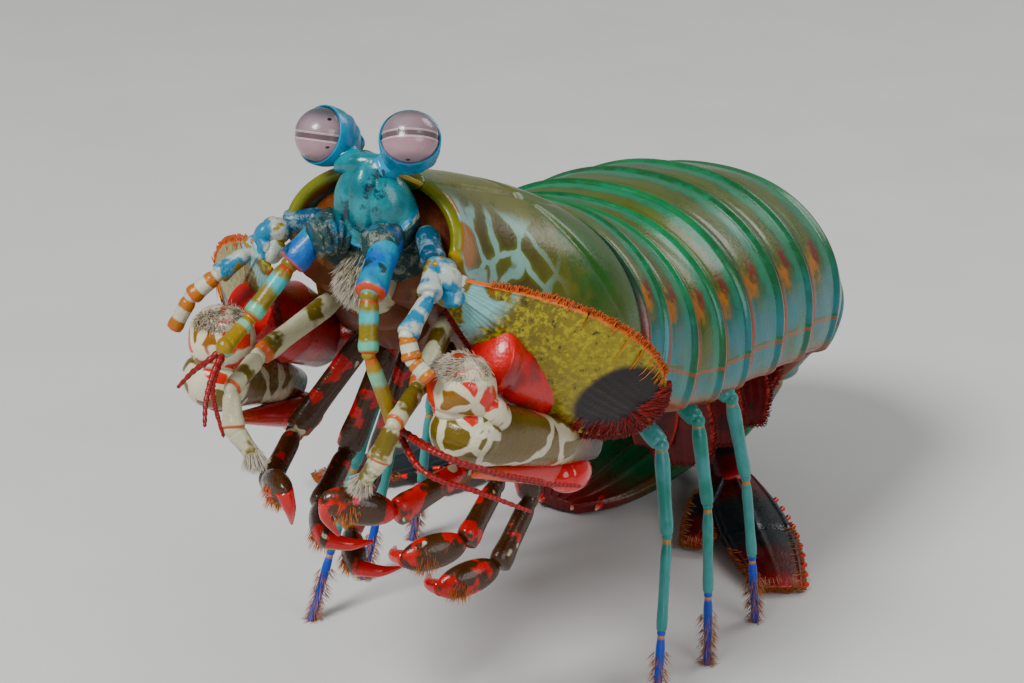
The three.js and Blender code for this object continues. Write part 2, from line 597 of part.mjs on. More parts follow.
// Pleopods: a pair of flaps under each of the first five abdominal somites
const FLAP_LENGTH = [11, 10.5, 9.5, 7, 6.5];
const FLAP_ASIDE = 7.6 * UNIT;
const FLAP_LEAN = 1.5;
FLAP_LENGTH.forEach((length, i) => {
  const index = 4 + i;
  const part = blend(stations[index], stations[index + 1], 0.5);
  const up = vec(0, -Math.sin(part.slope * RAD), Math.cos(part.slope * RAD));
  const back = vec(0, Math.cos(part.slope * RAD), Math.sin(part.slope * RAD));
  [['left', 1], ['right', -1]].forEach(([side, hand]) => {
    const root = part.middle.clone().add(vec(hand * FLAP_ASIDE, 0, 0));
    root.addScaledVector(up, -(part.deep - 0.8) * UNIT);
    const lean = (i > 2 ? -FLAP_LEAN : FLAP_LEAN) * UNIT;
    const tip = root.clone().addScaledVector(up, -length * UNIT).addScaledVector(back, lean);
    tip.x += hand * 2.2 * UNIT;
    const flap = blade({
      root, tip, across: vec(1, 0, 0), width: 4.6 * UNIT, thick: 1.1 * UNIT, columns: 5, rows: 4,
      outline: (u) => 0.42 + 0.58 * Math.sin(Math.PI * Math.min(1, u * 0.75 + 0.1)),
    });
    const host = Object.keys(SOMITES)[index];
    add(`pleopod_${i + 1}_${side}`, without(flap, [solids[host]]), COLOUR.maroon);
  });
});

// Tail fan: the telson and a uropod on each side, spread on the floor
const tail = stations[stations.length - 1];
const PADDLE = { wide: 4.4 * UNIT, thick: 1.8 * UNIT, neck: 0.42 };
const INNER_BLADE = { wide: 2.6 * UNIT, thick: 1.3 * UNIT, neck: 0.4 };
const TELSON_LENGTH = 22 * UNIT;
const TELSON_WIDE = 11.8 * UNIT;
const TELSON_THICK = 3.4 * UNIT;
const telsonRoot = tail.middle.clone().add(vec(0, 1.4 * UNIT, 0));
const telsonTip = vec(telsonRoot.x - 2.0 * UNIT, telsonRoot.y - TELSON_LENGTH, 1.1 * UNIT);
const telson = blade({
  root: telsonRoot,
  tip: telsonTip,
  across: vec(1, 0, 0),
  width: TELSON_WIDE,
  thick: TELSON_THICK,
  columns: 8,
  rows: 8,
  outline: (u) => 1 - 0.34 * u - 0.42 * u ** 6,
});
add('telson', clipFloor(without(telson, [solids.abdomen_6])), COLOUR.green);
[['left', 1], ['right', -1]].forEach(([side, hand]) => {
  const root = vec(tail.middle.x + hand * 9.6 * UNIT, tail.middle.y + 1.0 * UNIT, tail.middle.z + 1.2 * UNIT);
  const wrist = vec(tail.middle.x + hand * 16.4 * UNIT, tail.middle.y - 8.4 * UNIT, 2.6 * UNIT);
  const tip = vec(tail.middle.x + hand * 31.0 * UNIT, tail.middle.y - 28.6 * UNIT, 0.7 * UNIT);
  const stem = limb({
    joints: [root, wrist], radii: sized([2.6, 2.3]), across: vec(1, 0, 0), flat: 0.8, steps: 2,
  });
  const paddle = blade({
    root: wrist.clone().lerp(root, 0.15),
    tip,
    across: vec(hand * 0.8, 0.6, 0),
    width: PADDLE.wide,
    thick: PADDLE.thick,
    columns: 9,
    outline: (u) => PADDLE.neck + (1 - PADDLE.neck) * Math.sin(Math.PI * Math.min(1, u * 0.8 + 0.12)),
  });
  const inner = blade({
    root: wrist.clone().lerp(root, 0.3),
    tip: wrist.clone().add(vec(hand * 1.2 * UNIT, -15.0 * UNIT, -1.6 * UNIT)),
    across: vec(1, 0, 0),
    width: INNER_BLADE.wide,
    thick: INNER_BLADE.thick,
    columns: 6,
    rows: 4,
    outline: (u) => INNER_BLADE.neck + (1 - INNER_BLADE.neck) * Math.sin(Math.PI * Math.min(1, u * 0.8 + 0.12)),
  });
  const fan = joined([stem, paddle, inner]);
  add(`uropod_${side}`, clipFloor(without(fan, [solids.abdomen_6, solids.telson])), COLOUR.maroon);
});

const group = new THREE.Group();
group.name = 'mantis_shrimp';
Object.entries(solids).forEach(([name, solid]) => {
  const geometry = toGeometry(solid).translate(...ORIGIN_SHIFT.clone().negate().toArray());
  const finish = new THREE.MeshStandardMaterial({ color: palette[name], roughness: 0.5 });
  const mesh = new THREE.Mesh(geometry, finish);
  mesh.name = name;
  group.add(mesh);
});

export default group;
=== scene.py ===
"""A life-size peacock mantis shrimp: shell plates, limbs, eyes and fringes worked out as surfaces.

Lengths here are millimetres in the animal's own frame, +Z up, head towards -Y, left side at +X.
place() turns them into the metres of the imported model.
"""

import bpy
import numpy as np
from mathutils import Matrix


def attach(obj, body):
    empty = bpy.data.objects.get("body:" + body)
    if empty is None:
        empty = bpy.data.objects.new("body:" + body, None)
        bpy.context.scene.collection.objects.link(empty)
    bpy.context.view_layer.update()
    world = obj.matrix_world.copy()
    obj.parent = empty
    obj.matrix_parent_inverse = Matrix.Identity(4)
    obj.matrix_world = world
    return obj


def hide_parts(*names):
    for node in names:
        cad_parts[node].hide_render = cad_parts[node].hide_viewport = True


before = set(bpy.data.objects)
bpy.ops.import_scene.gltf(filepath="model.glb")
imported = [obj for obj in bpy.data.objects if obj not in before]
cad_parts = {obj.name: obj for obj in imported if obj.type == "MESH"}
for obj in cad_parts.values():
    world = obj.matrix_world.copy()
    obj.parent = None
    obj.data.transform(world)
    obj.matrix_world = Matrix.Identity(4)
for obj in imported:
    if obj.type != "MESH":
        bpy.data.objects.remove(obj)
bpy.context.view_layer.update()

MM = 0.001
ORIGIN = np.array([-8.26, 13.9, 0.0])
FLOOR = np.array([-1e6, -1e6, 0.0])
FINE = 1.0
SEED = 7
TUBE_ROUNDING, TUBE_END = 0.02, 0.15
ARTICLE_ROWS, HAIR_SIDES = 26, 3

# Body axis: length, slope, half width, height of the back, depth of the belly of each somite
SOMITES = {
    "thorax_5": (3.8, -24, 17.7, 14.4, 5.4),
    "thorax_6": (8.0, -22, 18.0, 14.6, 5.6),
    "thorax_7": (7.2, -11, 18.3, 14.9, 5.8),
    "thorax_8": (6.4, -3, 18.6, 15.2, 6.0),
    "abdomen_1": (9.2, -7, 18.9, 15.6, 6.2),
    "abdomen_2": (9.0, -8, 19.1, 15.8, 6.2),
    "abdomen_3": (9.6, -10, 19.1, 15.7, 6.2),
    "abdomen_4": (10.2, -29, 18.8, 14.8, 6.0),
    "abdomen_5": (9.8, -72, 17.8, 12.4, 5.4),
    "abdomen_6": (9.0, -124, 15.0, 7.4, 4.6),
}
AXIS_START, AXIS_HEIGHT = -1.5, 37.6
REAR_TILT = 13
TAIL_SWING, TAIL_SWING_FROM, TAIL_SWING_RUN = -9, 54, 30
SKIRT_DROP = 1.6
LIP = 0.5
CARAPACE_LENGTH, CARAPACE_RISE, CARAPACE_TILT = 30.5, 34, 24
CARAPACE_REAR_WIDE, CARAPACE_REAR_TALL, CARAPACE_THICK = 17.0, 14.2, 1.1
CARAPACE_FRONT_WIDE, CARAPACE_FRONT_TALL = 9.4, 6.6
FACE = np.array([0, -26.4, 56.6])
FACE_UP = np.array([0, -0.34, 0.94])
SIDES = (("left", 1), ("right", -1))


def vec(*values):
    return np.array(values, float)


def unit(v):
    v = np.asarray(v, float)
    return v / np.linalg.norm(v, axis=-1, keepdims=True)


def mix(a, b, t):
    return a + (b - a) * t


def smooth(t):
    t = np.clip(t, 0, 1)
    return t * t * (3 - 2 * t)


def hump(x, centre, width):
    """A bell curve of height 1 at the centre."""
    return np.exp(-(((x - centre) / width) ** 2))


def flip(points, hand):
    """The same points on the animal's left side (hand 1) or mirrored to its right (hand -1)."""
    return np.asarray(points, float) * (hand, 1, 1)


def above(points, height=0.0):
    """The same points, those that lie too low lifted to a height over the floor."""
    return np.maximum(points, FLOOR + vec(0, 0, height))


def place(points):
    return (above(points) - ORIGIN) * MM


# Meshes from grids

class Part:
    """One closed grid surface: rows run along it, columns round it, with a pole point at each end."""

    def __init__(self, grid, paint, extra=0.0, along=None, around=None):
        rows, cols = grid.shape[:2]
        self.points = np.concatenate([grid.reshape(-1, 3), grid[:1].mean(axis=1), grid[-1:].mean(axis=1)])
        index = np.arange(rows * cols).reshape(rows, cols)
        after = np.roll(index, -1, axis=1)
        quads = np.stack([index[:-1], after[:-1], after[1:], index[1:]], -1).reshape(-1, 4)
        first = np.stack([after[0], index[0], np.full(cols, rows * cols)], -1)
        last = np.stack([index[-1], after[-1], np.full(cols, rows * cols + 1)], -1)
        self.quads, self.triangles = quads, np.concatenate([first, last])
        if along is None:
            along = np.repeat(np.linspace(0, 1, rows)[:, None], cols, 1)
        if around is None:
            around = np.repeat(np.linspace(0, 1, cols, endpoint=False)[None], rows, 0)
        third = np.broadcast_to(np.asarray(extra, float), (rows, cols))
        span = np.stack([along, around, third], -1)
        self.span = np.concatenate([span.reshape(-1, 3), span[:1].mean(axis=1), span[-1:].mean(axis=1)])
        self.paint = paint
        centre = self.points.mean(axis=0)
        corners = self.points[quads] - centre
        flow = np.einsum("ij,ij->i", corners[:, 0], np.cross(corners[:, 1], corners[:, 2]))
        if flow.sum() < 0:
            self.quads, self.triangles = quads[:, ::-1], self.triangles[:, ::-1]


def build(name, parts, node):
    """Joins grid parts into one mesh object that stands for its CAD node and rides on the body."""
    parts = parts if isinstance(parts, list) else [parts]
    paints = list(dict.fromkeys(p.paint for p in parts))
    start, points, span, faces, marks = 0, [], [], [], []
    for p in parts:
        points.append(p.points)
        span.append(p.span)
        for block in (p.quads, p.triangles):
            faces += (block + start).tolist()
            marks += [paints.index(p.paint)] * len(block)
        start += len(p.points)
    mesh = bpy.data.meshes.new(name)
    mesh.from_pydata(place(np.concatenate(points)).tolist(), [], faces)
    mesh.polygons.foreach_set("material_index", marks)
    mesh.polygons.foreach_set("use_smooth", [True] * len(faces))
    store = mesh.attributes.new("span", "FLOAT_VECTOR", "POINT")
    store.data.foreach_set("vector", np.concatenate(span).ravel())
    for paint in paints:
        mesh.materials.append(MATERIALS[paint])
    mesh.update()
    piece = bpy.data.objects.new(name, mesh)
    bpy.context.scene.collection.objects.link(piece)
    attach(piece, "root")
    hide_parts(node)


def frame_along(tangents, across):
    """Side and rise vectors square to each tangent, the side kept near the across vector."""
    side = unit(across - tangents * (tangents @ across)[:, None])
    return side, np.cross(tangents, side)


def spline(joints, count):
    """A smooth run through the joints: cubic spans whose slope at a joint follows both its neighbours."""
    joints = np.asarray(joints, float)
    slopes = np.gradient(joints, axis=0)
    where = np.linspace(0, len(joints) - 1, count)
    k = np.minimum(where.astype(int), len(joints) - 2)
    t = (where - k)[:, None]
    near = joints[k] * (2 * t ** 3 - 3 * t ** 2 + 1) + slopes[k] * (t ** 3 - 2 * t ** 2 + t)
    far = joints[k + 1] * (3 * t ** 2 - 2 * t ** 3) + slopes[k + 1] * (t ** 3 - t ** 2)
    return near + far, where


def sweep(middle, t, radius, paint, across, flat, sides, shape, extra):
    """A ring of a given radius round each point of a path, flattened, and pushed in or out by shape(t, turn)."""
    side, rise = frame_along(unit(np.gradient(middle, axis=0)), np.asarray(across, float))
    turn = np.linspace(0, 2 * np.pi, sides, endpoint=False)
    r = radius[:, None] * np.ones(sides)
    if shape:
        r = r * shape(t[:, None], turn[None])
    grid = (middle[:, None] + side[:, None] * (r * np.cos(turn))[..., None]
            + rise[:, None] * (r * flat * np.sin(turn))[..., None])
    return Part(grid, paint, extra, along=np.repeat(t[:, None], sides, 1))


def tube(joints, radii, paint, across=(1, 0, 0), flat=1.0, sides=14, rows=40, shape=None, extra=0.0):
    """A profile carried along a smooth path: an oval ring at each step, rounded off at both ends."""
    middle, where = spline(joints, rows)
    t = np.linspace(0, 1, rows)
    edge = np.clip(np.minimum(t, 1 - t) / TUBE_ROUNDING, 0, 1)
    radius = np.interp(where, np.arange(len(radii)), radii) * mix(TUBE_END, 1, np.sqrt(1 - (1 - edge) ** 2))
    return sweep(middle, t, radius, paint, across, flat, sides, shape, extra)


def article(a, b, r0, r1, paint, across, flat, sides, extra):
    """One length of a limb: a narrow neck, a swelling towards its far end and a rounded rim there."""
    t = np.concatenate([[0, 0.015], np.linspace(0.04, 0.96, ARTICLE_ROWS - 4), [0.985, 1]])
    neck = 0.7 + 0.3 * smooth(t / 0.22)
    swell = 1 + 0.13 * hump(t, 0.86, 0.12)
    ends = np.sqrt(np.clip(1 - np.clip((np.abs(2 * t - 1) - 0.93) / 0.07, 0, 1) ** 2, 0.02, 1))
    radius = mix(r0, r1, t) * neck * swell * ends
    return sweep(mix(a, b, t[:, None]), t, radius, paint, across, flat, sides, None, extra)


def ovoid(centre, radii, paint, along=(0, 0, 1), across=(1, 0, 0), sides=40, rows=26, shape=None, extra=0.0):
    """An ellipsoid in latitude and longitude, pushed out or in by shape(polar, turn)."""
    w = unit(along)
    across = np.asarray(across, float)
    u = unit(across - w * (across @ w))
    v = np.cross(w, u)
    polar = np.linspace(0.03, np.pi - 0.03, rows)[:, None]
    turn = np.linspace(0, 2 * np.pi, sides, endpoint=False)[None]
    push = shape(polar, turn) if shape else 1.0
    grid = (np.asarray(centre, float)
            + u * (radii[0] * np.sin(polar) * np.cos(turn) * push)[..., None]
            + v * (radii[1] * np.sin(polar) * np.sin(turn) * push)[..., None]
            - w * (radii[2] * np.cos(polar) * np.ones_like(turn) * push)[..., None])
    return Part(grid, paint, extra)


def plate(at, rows, cols, paint):
    """A closed sheet: the outer face goes one way across each row and the inner face comes back."""
    u = np.linspace(0, 1, rows)[:, None]
    v = np.linspace(0, 1, cols)[None]
    outer, inner = at(u, v, 1), at(u, v, -1)
    grid = np.concatenate([outer, inner[:, ::-1]], axis=1)
    around = np.concatenate([v, v[:, ::-1]], axis=1) * np.ones_like(u)
    part = Part(grid, paint, along=u * np.ones((1, 2 * cols)), around=around)
    index = np.arange(rows * 2 * cols).reshape(rows, 2 * cols)
    caps = []
    for row, way in ((index[0], 1), (index[-1], -1)):
        near, far = row[:cols], row[cols:][::-1]
        quad = np.stack([near[:-1], far[:-1], far[1:], near[1:]], -1)
        caps.append(quad[:, ::way])
    quads = part.quads
    turned = quads[0, 0] != index[0, 0]
    part.quads = np.concatenate([quads] + [c[:, ::-1] if turned else c for c in caps])
    part.triangles = np.empty((0, 3), int)
    part.points, part.span = part.points[:-2], part.span[:-2]
    return part


def blade(root, tip, across, width, thick, outline, paint, dome=0.0, arch=None, rows=40, cols=24, relief=None):
    """A thin blade from root to tip: half width from outline(u), domed, thinning to its rims."""
    root, tip, across = (np.asarray(p, float) for p in (root, tip, across))
    along = tip - root
    forward = unit(along)
    side = unit(across - forward * (across @ forward))
    normal = np.cross(forward, side)

    def at(u, v, face):
        w = 2 * v - 1
        bell = arch(u) if arch else np.sin(np.pi * u)
        level = dome * (1 - w * w) * bell + face * thick * (1 - 0.7 * w * w) * (1 - 0.5 * u ** 4) / 2
        if relief:
            level = level + face * relief(u, w)
        return (root + along * (u * np.ones_like(v))[..., None] + side * (w * width * outline(u))[..., None]
                + normal * (level * np.ones_like(w * u))[..., None])
    part = plate(at, rows, cols, paint)
    part.span[:, 2] = ((part.points - root) @ side) / width
    return part


def setae(name, roots, tips, root_width, paint, bend=(0, 0, 0), rings=5):
    """Fine hairs as solid mesh: three-sided tapering prisms from each root to each tip, bent on the way."""
    roots, tips = np.asarray(roots, float), np.asarray(tips, float)
    count = len(roots)
    t = np.linspace(0, 1, rings)
    middle = roots[:, None] + (tips - roots)[:, None] * t[None, :, None]
    middle = middle + np.asarray(bend, float) * np.sin(np.pi * t / 2)[None, :, None] ** 2
    tangent = unit(np.gradient(middle, axis=1))
    helper = np.where(np.abs(tangent[..., 2:]) > 0.9, [[[1.0, 0, 0]]], [[[0, 0, 1.0]]])
    side = unit(np.cross(tangent, helper))
    rise = np.cross(tangent, side)
    turn = np.linspace(0, 2 * np.pi, HAIR_SIDES, endpoint=False)
    width = root_width * np.ones((count, 1)) * (1 - 0.85 * t[None] ** 1.5)
    ring = side[:, :, None] * np.cos(turn)[:, None] + rise[:, :, None] * np.sin(turn)[:, None]
    points = middle[:, :, None] + ring * width[:, :, None, None] / 2
    index = np.arange(count * rings * HAIR_SIDES).reshape(count, rings, HAIR_SIDES)
    after = np.roll(index, -1, axis=2)
    quads = np.stack([index[:, :-1], after[:, :-1], after[:, 1:], index[:, 1:]], -1).reshape(-1, 4)
    ends = np.concatenate([index[:, 0, ::-1], index[:, -1]])
    mesh = bpy.data.meshes.new(name)
    mesh.from_pydata(place(points.reshape(-1, 3)).tolist(), [], quads.tolist() + ends.tolist())
    order = np.linspace(0, 1, count)[:, None, None]
    span = np.stack(np.broadcast_arrays(t[None, :, None], order, np.zeros((1, 1, HAIR_SIDES))), -1).reshape(-1, 3)
    mesh.attributes.new("span", "FLOAT_VECTOR", "POINT").data.foreach_set("vector", span.ravel())
    loops = np.empty(len(mesh.loops), int)
    mesh.loops.foreach_get("vertex_index", loops)
    mesh.uv_layers.new(name="OFBake").data.foreach_set("uv", span[loops][:, :2].ravel())
    mesh.polygons.foreach_set("use_smooth", [True] * len(mesh.polygons))
    mesh.materials.append(MATERIALS[paint])
    mesh.update()
    piece = bpy.data.objects.new(name, mesh)
    bpy.context.scene.collection.objects.link(piece)
    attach(piece, "root")


# Materials

RICHNESS, DEPTH = 1.36, 0.60
SPECULAR, COAT_SHARE, COAT_ROUGHNESS = 0.3, 0.5, 0.12
SUBSURFACE_REACH = (0.004, 0.002, 0.001)
RELIEF_DEPTH = 0.0002


def tone(r, g, b):
    """A colour given in display steps of 0 to 255, as linear values, pushed away from grey and deepened."""
    c = np.array([r, g, b]) / 255
    c = np.where(c <= 0.04045, c / 12.92, ((c + 0.055) / 1.055) ** 2.4)
    c = np.clip(c.mean() + (c - c.mean()) * RICHNESS, 0.002, 1) * DEPTH
    return (*c.tolist(), 1.0)


def feed(tree, socket, value):
    """Joins a socket to another one, or gives it a fixed value."""
    if isinstance(value, bpy.types.NodeSocket):
        tree.links.new(value, socket)
    else:
        socket.default_value = value


def put(tree, kind, wires=None, **settings):
    """Adds a node, sets its own settings, then feeds its sockets with values or with other sockets."""
    node = tree.nodes.new(kind)
    for key, value in settings.items():
        setattr(node, key, value)
    for key, value in (wires or {}).items():
        feed(tree, node.inputs[key], value)
    return node


def calc(tree, operation, a, b=0.0, clamp=False):
    return put(tree, "ShaderNodeMath", {0: a, 1: b}, operation=operation, use_clamp=clamp).outputs[0]


def new_group(name, inputs, outputs):
    """A shader group of number sockets: its inputs by name with their usual values, its outputs by name."""
    tree = bpy.data.node_groups.new(name, "ShaderNodeTree")
    for label, usual in inputs.items():
        tree.interface.new_socket(label, in_out="INPUT", socket_type="NodeSocketFloat").default_value = usual
    for label in outputs:
        tree.interface.new_socket(label, in_out="OUTPUT", socket_type="NodeSocketFloat")
    return tree, tree.nodes.new("NodeGroupInput"), tree.nodes.new("NodeGroupOutput")


def band_group():
    """Mask of a soft band: 1 within Width of Centre, falling to 0 over Soft, its edge shaken by Shake."""
    tree, source, sink = new_group("colour_band", {"Value": 0.0, "Centre": 0.5, "Width": 0.1, "Soft": 0.05,
                                                   "Shake": 0.0}, ["Mask"])
    where = put(tree, "ShaderNodeTexCoord").outputs["Object"]
    noise = put(tree, "ShaderNodeTexNoise", {"Vector": where, "Scale": 900.0, "Detail": 3.0}).outputs["Fac"]
    shaken = calc(tree, "MULTIPLY", calc(tree, "SUBTRACT", noise, 0.5), source.outputs["Shake"])
    value = calc(tree, "ADD", source.outputs["Value"], shaken)
    away = calc(tree, "ABSOLUTE", calc(tree, "SUBTRACT", value, source.outputs["Centre"]))
    outer = calc(tree, "ADD", source.outputs["Width"], source.outputs["Soft"])
    ramp = put(tree, "ShaderNodeMapRange", {"Value": away, "From Min": source.outputs["Width"], "From Max": outer,
                                           "To Min": 1.0, "To Max": 0.0}, interpolation_type="SMOOTHSTEP")
    tree.links.new(ramp.outputs[0], sink.inputs["Mask"])
    return tree


def grain_group():
    """Fine relief of a shell: pits and soft swellings, with a mottle of shade that goes with them."""
    tree, source, sink = new_group("shell_grain", {"Scale": 1.0, "Pits": 0.5}, ["Height", "Mottle", "Gloss"])
    where = put(tree, "ShaderNodeTexCoord").outputs["Object"]
    scaled = put(tree, "ShaderNodeVectorMath", {0: where, "Scale": source.outputs["Scale"]},
                 operation="SCALE").outputs[0]
    pores = put(tree, "ShaderNodeTexVoronoi", {"Vector": scaled, "Scale": 2600.0}).outputs["Distance"]
    swell = put(tree, "ShaderNodeTexNoise", {"Vector": scaled, "Scale": 420.0, "Detail": 6.0,
                                             "Roughness": 0.6}).outputs["Fac"]
    broad = put(tree, "ShaderNodeTexNoise", {"Vector": scaled, "Scale": 110.0, "Detail": 3.0}).outputs["Fac"]
    pitted = calc(tree, "MULTIPLY", pores, source.outputs["Pits"])
    tree.links.new(calc(tree, "ADD", pitted, swell), sink.inputs["Height"])
    mottle = calc(tree, "ADD", calc(tree, "MULTIPLY", swell, 0.6), calc(tree, "MULTIPLY", broad, 0.4))
    tree.links.new(mottle, sink.inputs["Mottle"])
    gloss = put(tree, "ShaderNodeMapRange", {"Value": swell, "From Min": 0.3, "From Max": 0.7, "To Min": -0.1,
                                             "To Max": 0.14})
    tree.links.new(gloss.outputs[0], sink.inputs["Gloss"])
    return tree


def net_group():
    """A net of pale lines round rounded cells: 1 on a line, with each cell's own random number."""
    tree, source, sink = new_group("colour_net", {"Scale": 300.0, "Width": 0.1, "Warp": 0.002},
                                   ["Mask", "Cell", "Depth"])
    where = put(tree, "ShaderNodeTexCoord").outputs["Object"]
    noise = put(tree, "ShaderNodeTexNoise", {"Vector": where, "Scale": 260.0, "Detail": 2.0}).outputs["Color"]
    push = put(tree, "ShaderNodeVectorMath", {0: noise, 1: (0.5, 0.5, 0.5)}, operation="SUBTRACT").outputs[0]
    push = put(tree, "ShaderNodeVectorMath", {0: push, "Scale": source.outputs["Warp"]},
               operation="SCALE").outputs[0]
    bent = put(tree, "ShaderNodeVectorMath", {0: where, 1: push}, operation="ADD").outputs[0]
    edge = put(tree, "ShaderNodeTexVoronoi", {"Vector": bent, "Scale": source.outputs["Scale"]},
               feature="DISTANCE_TO_EDGE")
    cell = put(tree, "ShaderNodeTexVoronoi", {"Vector": bent, "Scale": source.outputs["Scale"]}).outputs["Color"]
    outer = calc(tree, "MULTIPLY", source.outputs["Width"], 1.8)
    line = put(tree, "ShaderNodeMapRange", {"Value": edge.outputs["Distance"], "From Min": source.outputs["Width"],
                                            "From Max": outer, "To Min": 1.0, "To Max": 0.0},
               interpolation_type="SMOOTHSTEP")
    tree.links.new(line.outputs[0], sink.inputs["Mask"])
    tree.links.new(put(tree, "ShaderNodeSeparateColor", {"Color": cell}).outputs[0], sink.inputs["Cell"])
    tree.links.new(edge.outputs["Distance"], sink.inputs["Depth"])
    return tree


GROUPS = {"band": band_group(), "grain": grain_group(), "net": net_group()}
MATERIALS = {}


class Paint:
    """A shell finish under construction: colour layers, then relief and gloss."""

    def __init__(self, name, base, roughness, coat, sub=0.0):
        self.material = bpy.data.materials.new(name)
        self.material.use_nodes = True
        self.tree = self.material.node_tree
        self.tree.nodes.clear()
        self.shader = put(self.tree, "ShaderNodeBsdfPrincipled", {
            "Roughness": roughness, "Coat Weight": coat * COAT_SHARE, "Coat Roughness": COAT_ROUGHNESS,
            "Specular IOR Level": SPECULAR, "Subsurface Weight": sub, "Subsurface Radius": SUBSURFACE_REACH})
        out = put(self.tree, "ShaderNodeOutputMaterial", {"Surface": self.shader.outputs[0]})
        out.is_active_output = True
        self.roughness = roughness
        spanned = put(self.tree, "ShaderNodeAttribute", attribute_name="span")
        split = put(self.tree, "ShaderNodeSeparateXYZ", {0: spanned.outputs["Vector"]})
        self.along, self.around, self.extra = split.outputs
        self.colour = tone(*base)
        MATERIALS[name] = self.material

    def band(self, value, centre, width, soft=0.05, shake=0.0):
        return self.use("band", Value=value, Centre=centre, Width=width, Soft=soft, Shake=shake).outputs["Mask"]

    def use(self, group, **values):
        return put(self.tree, "ShaderNodeGroup", values, node_tree=GROUPS[group])

    def calc(self, operation, a, b=0.0, clamp=False):
        return calc(self.tree, operation, a, b, clamp)

    def ramp(self, value, stops):
        """Turns a value into a colour between two stops."""
        node = put(self.tree, "ShaderNodeValToRGB", {"Fac": value})
        for element, (position, colour) in zip(node.color_ramp.elements, stops):
            element.position = position
            element.color = colour
        return node.outputs["Color"]

    def blend(self, kind, share, under, over):
        """Mixes two colours, each a socket or a value, by a share that is one too."""
        node = put(self.tree, "ShaderNodeMix", data_type="RGBA", blend_type=kind)
        ends = [s for s in node.inputs if s.type == "RGBA"]
        for socket, value in ((node.inputs[0], share), (ends[0], under), (ends[1], over)):
            feed(self.tree, socket, value)
        self.colour = [s for s in node.outputs if s.type == "RGBA"][0]

    def layer(self, mask, colour):
        """Lays a colour over what is there, where the mask is 1."""
        self.blend("MIX", mask, self.colour, tone(*colour))

    def speckle(self, colour, scale, detail, low, high, roughness=0.5):
        """Lays a colour in blots: where a noise of the given scale passes from low to high."""
        self.layer(self.step(self.noise(scale, detail, roughness), low, high), colour)

    def ring(self, colour, centre, width, soft=0.05, shake=0.0):
        """Lays a colour in a soft ring round the part, at a share of the way along it."""
        self.layer(self.band(self.along, centre, width, soft, shake), colour)

    def fade(self, colour, low, high):
        """Lays a colour that comes in from low to high along the part."""
        self.layer(self.step(self.along, low, high), colour)

    def both(self, a, b):
        return self.calc("MULTIPLY", a, b)

    def invert(self, mask):
        return self.calc("SUBTRACT", 1.0, mask)

    def aside(self):
        """How far round the part a point lies from the half-way line."""
        return self.calc("ABSOLUTE", self.calc("SUBTRACT", self.around, 0.5))

    def noise(self, scale, detail=3.0, roughness=0.5):
        where = put(self.tree, "ShaderNodeTexCoord").outputs["Object"]
        return put(self.tree, "ShaderNodeTexNoise", {"Vector": where, "Scale": scale, "Detail": detail,
                                                     "Roughness": roughness}).outputs["Fac"]

    def step(self, value, low, high):
        return put(self.tree, "ShaderNodeMapRange", {"Value": value, "From Min": low, "From Max": high},
                   interpolation_type="SMOOTHSTEP").outputs[0]

    def finish(self, grain, pits, bump, mottle, height=None):
        """Adds the shell's mottle, relief and uneven gloss, and joins it all to the shader."""
        texture = self.use("grain", Scale=grain, Pits=pits)
        darkest, lightest = 1 - mottle, 1 + mottle * 0.6
        shade = self.ramp(texture.outputs["Mottle"], [(0.3, (*(darkest,) * 3, 1)), (0.7, (*(lightest,) * 3, 1))])
        self.blend("MULTIPLY", 1.0, self.colour, shade)
        raised = texture.outputs["Height"]
        if height is not None:
            raised = self.calc("ADD", raised, height)
        relief = put(self.tree, "ShaderNodeBump", {"Strength": bump, "Distance": RELIEF_DEPTH, "Height": raised})
        gloss = self.calc("ADD", texture.outputs["Gloss"], self.roughness, True)
        for name, socket in (("Base Color", self.colour), ("Normal", relief.outputs[0]), ("Roughness", gloss)):
            self.tree.links.new(socket, self.shader.inputs[name])


# White lines round the cornea as (height, width), and the middles of the four pupils
CORNEA_LINES = ((0.575, 0.0035), (0.556, 0.002), (0.452, 0.002), (0.436, 0.0045))
PUPILS = ((5.46, -30.58, 66.50), (6.26, -30.51, 63.78), (-3.21, -28.47, 65.73), (-2.89, -29.37, 63.32))


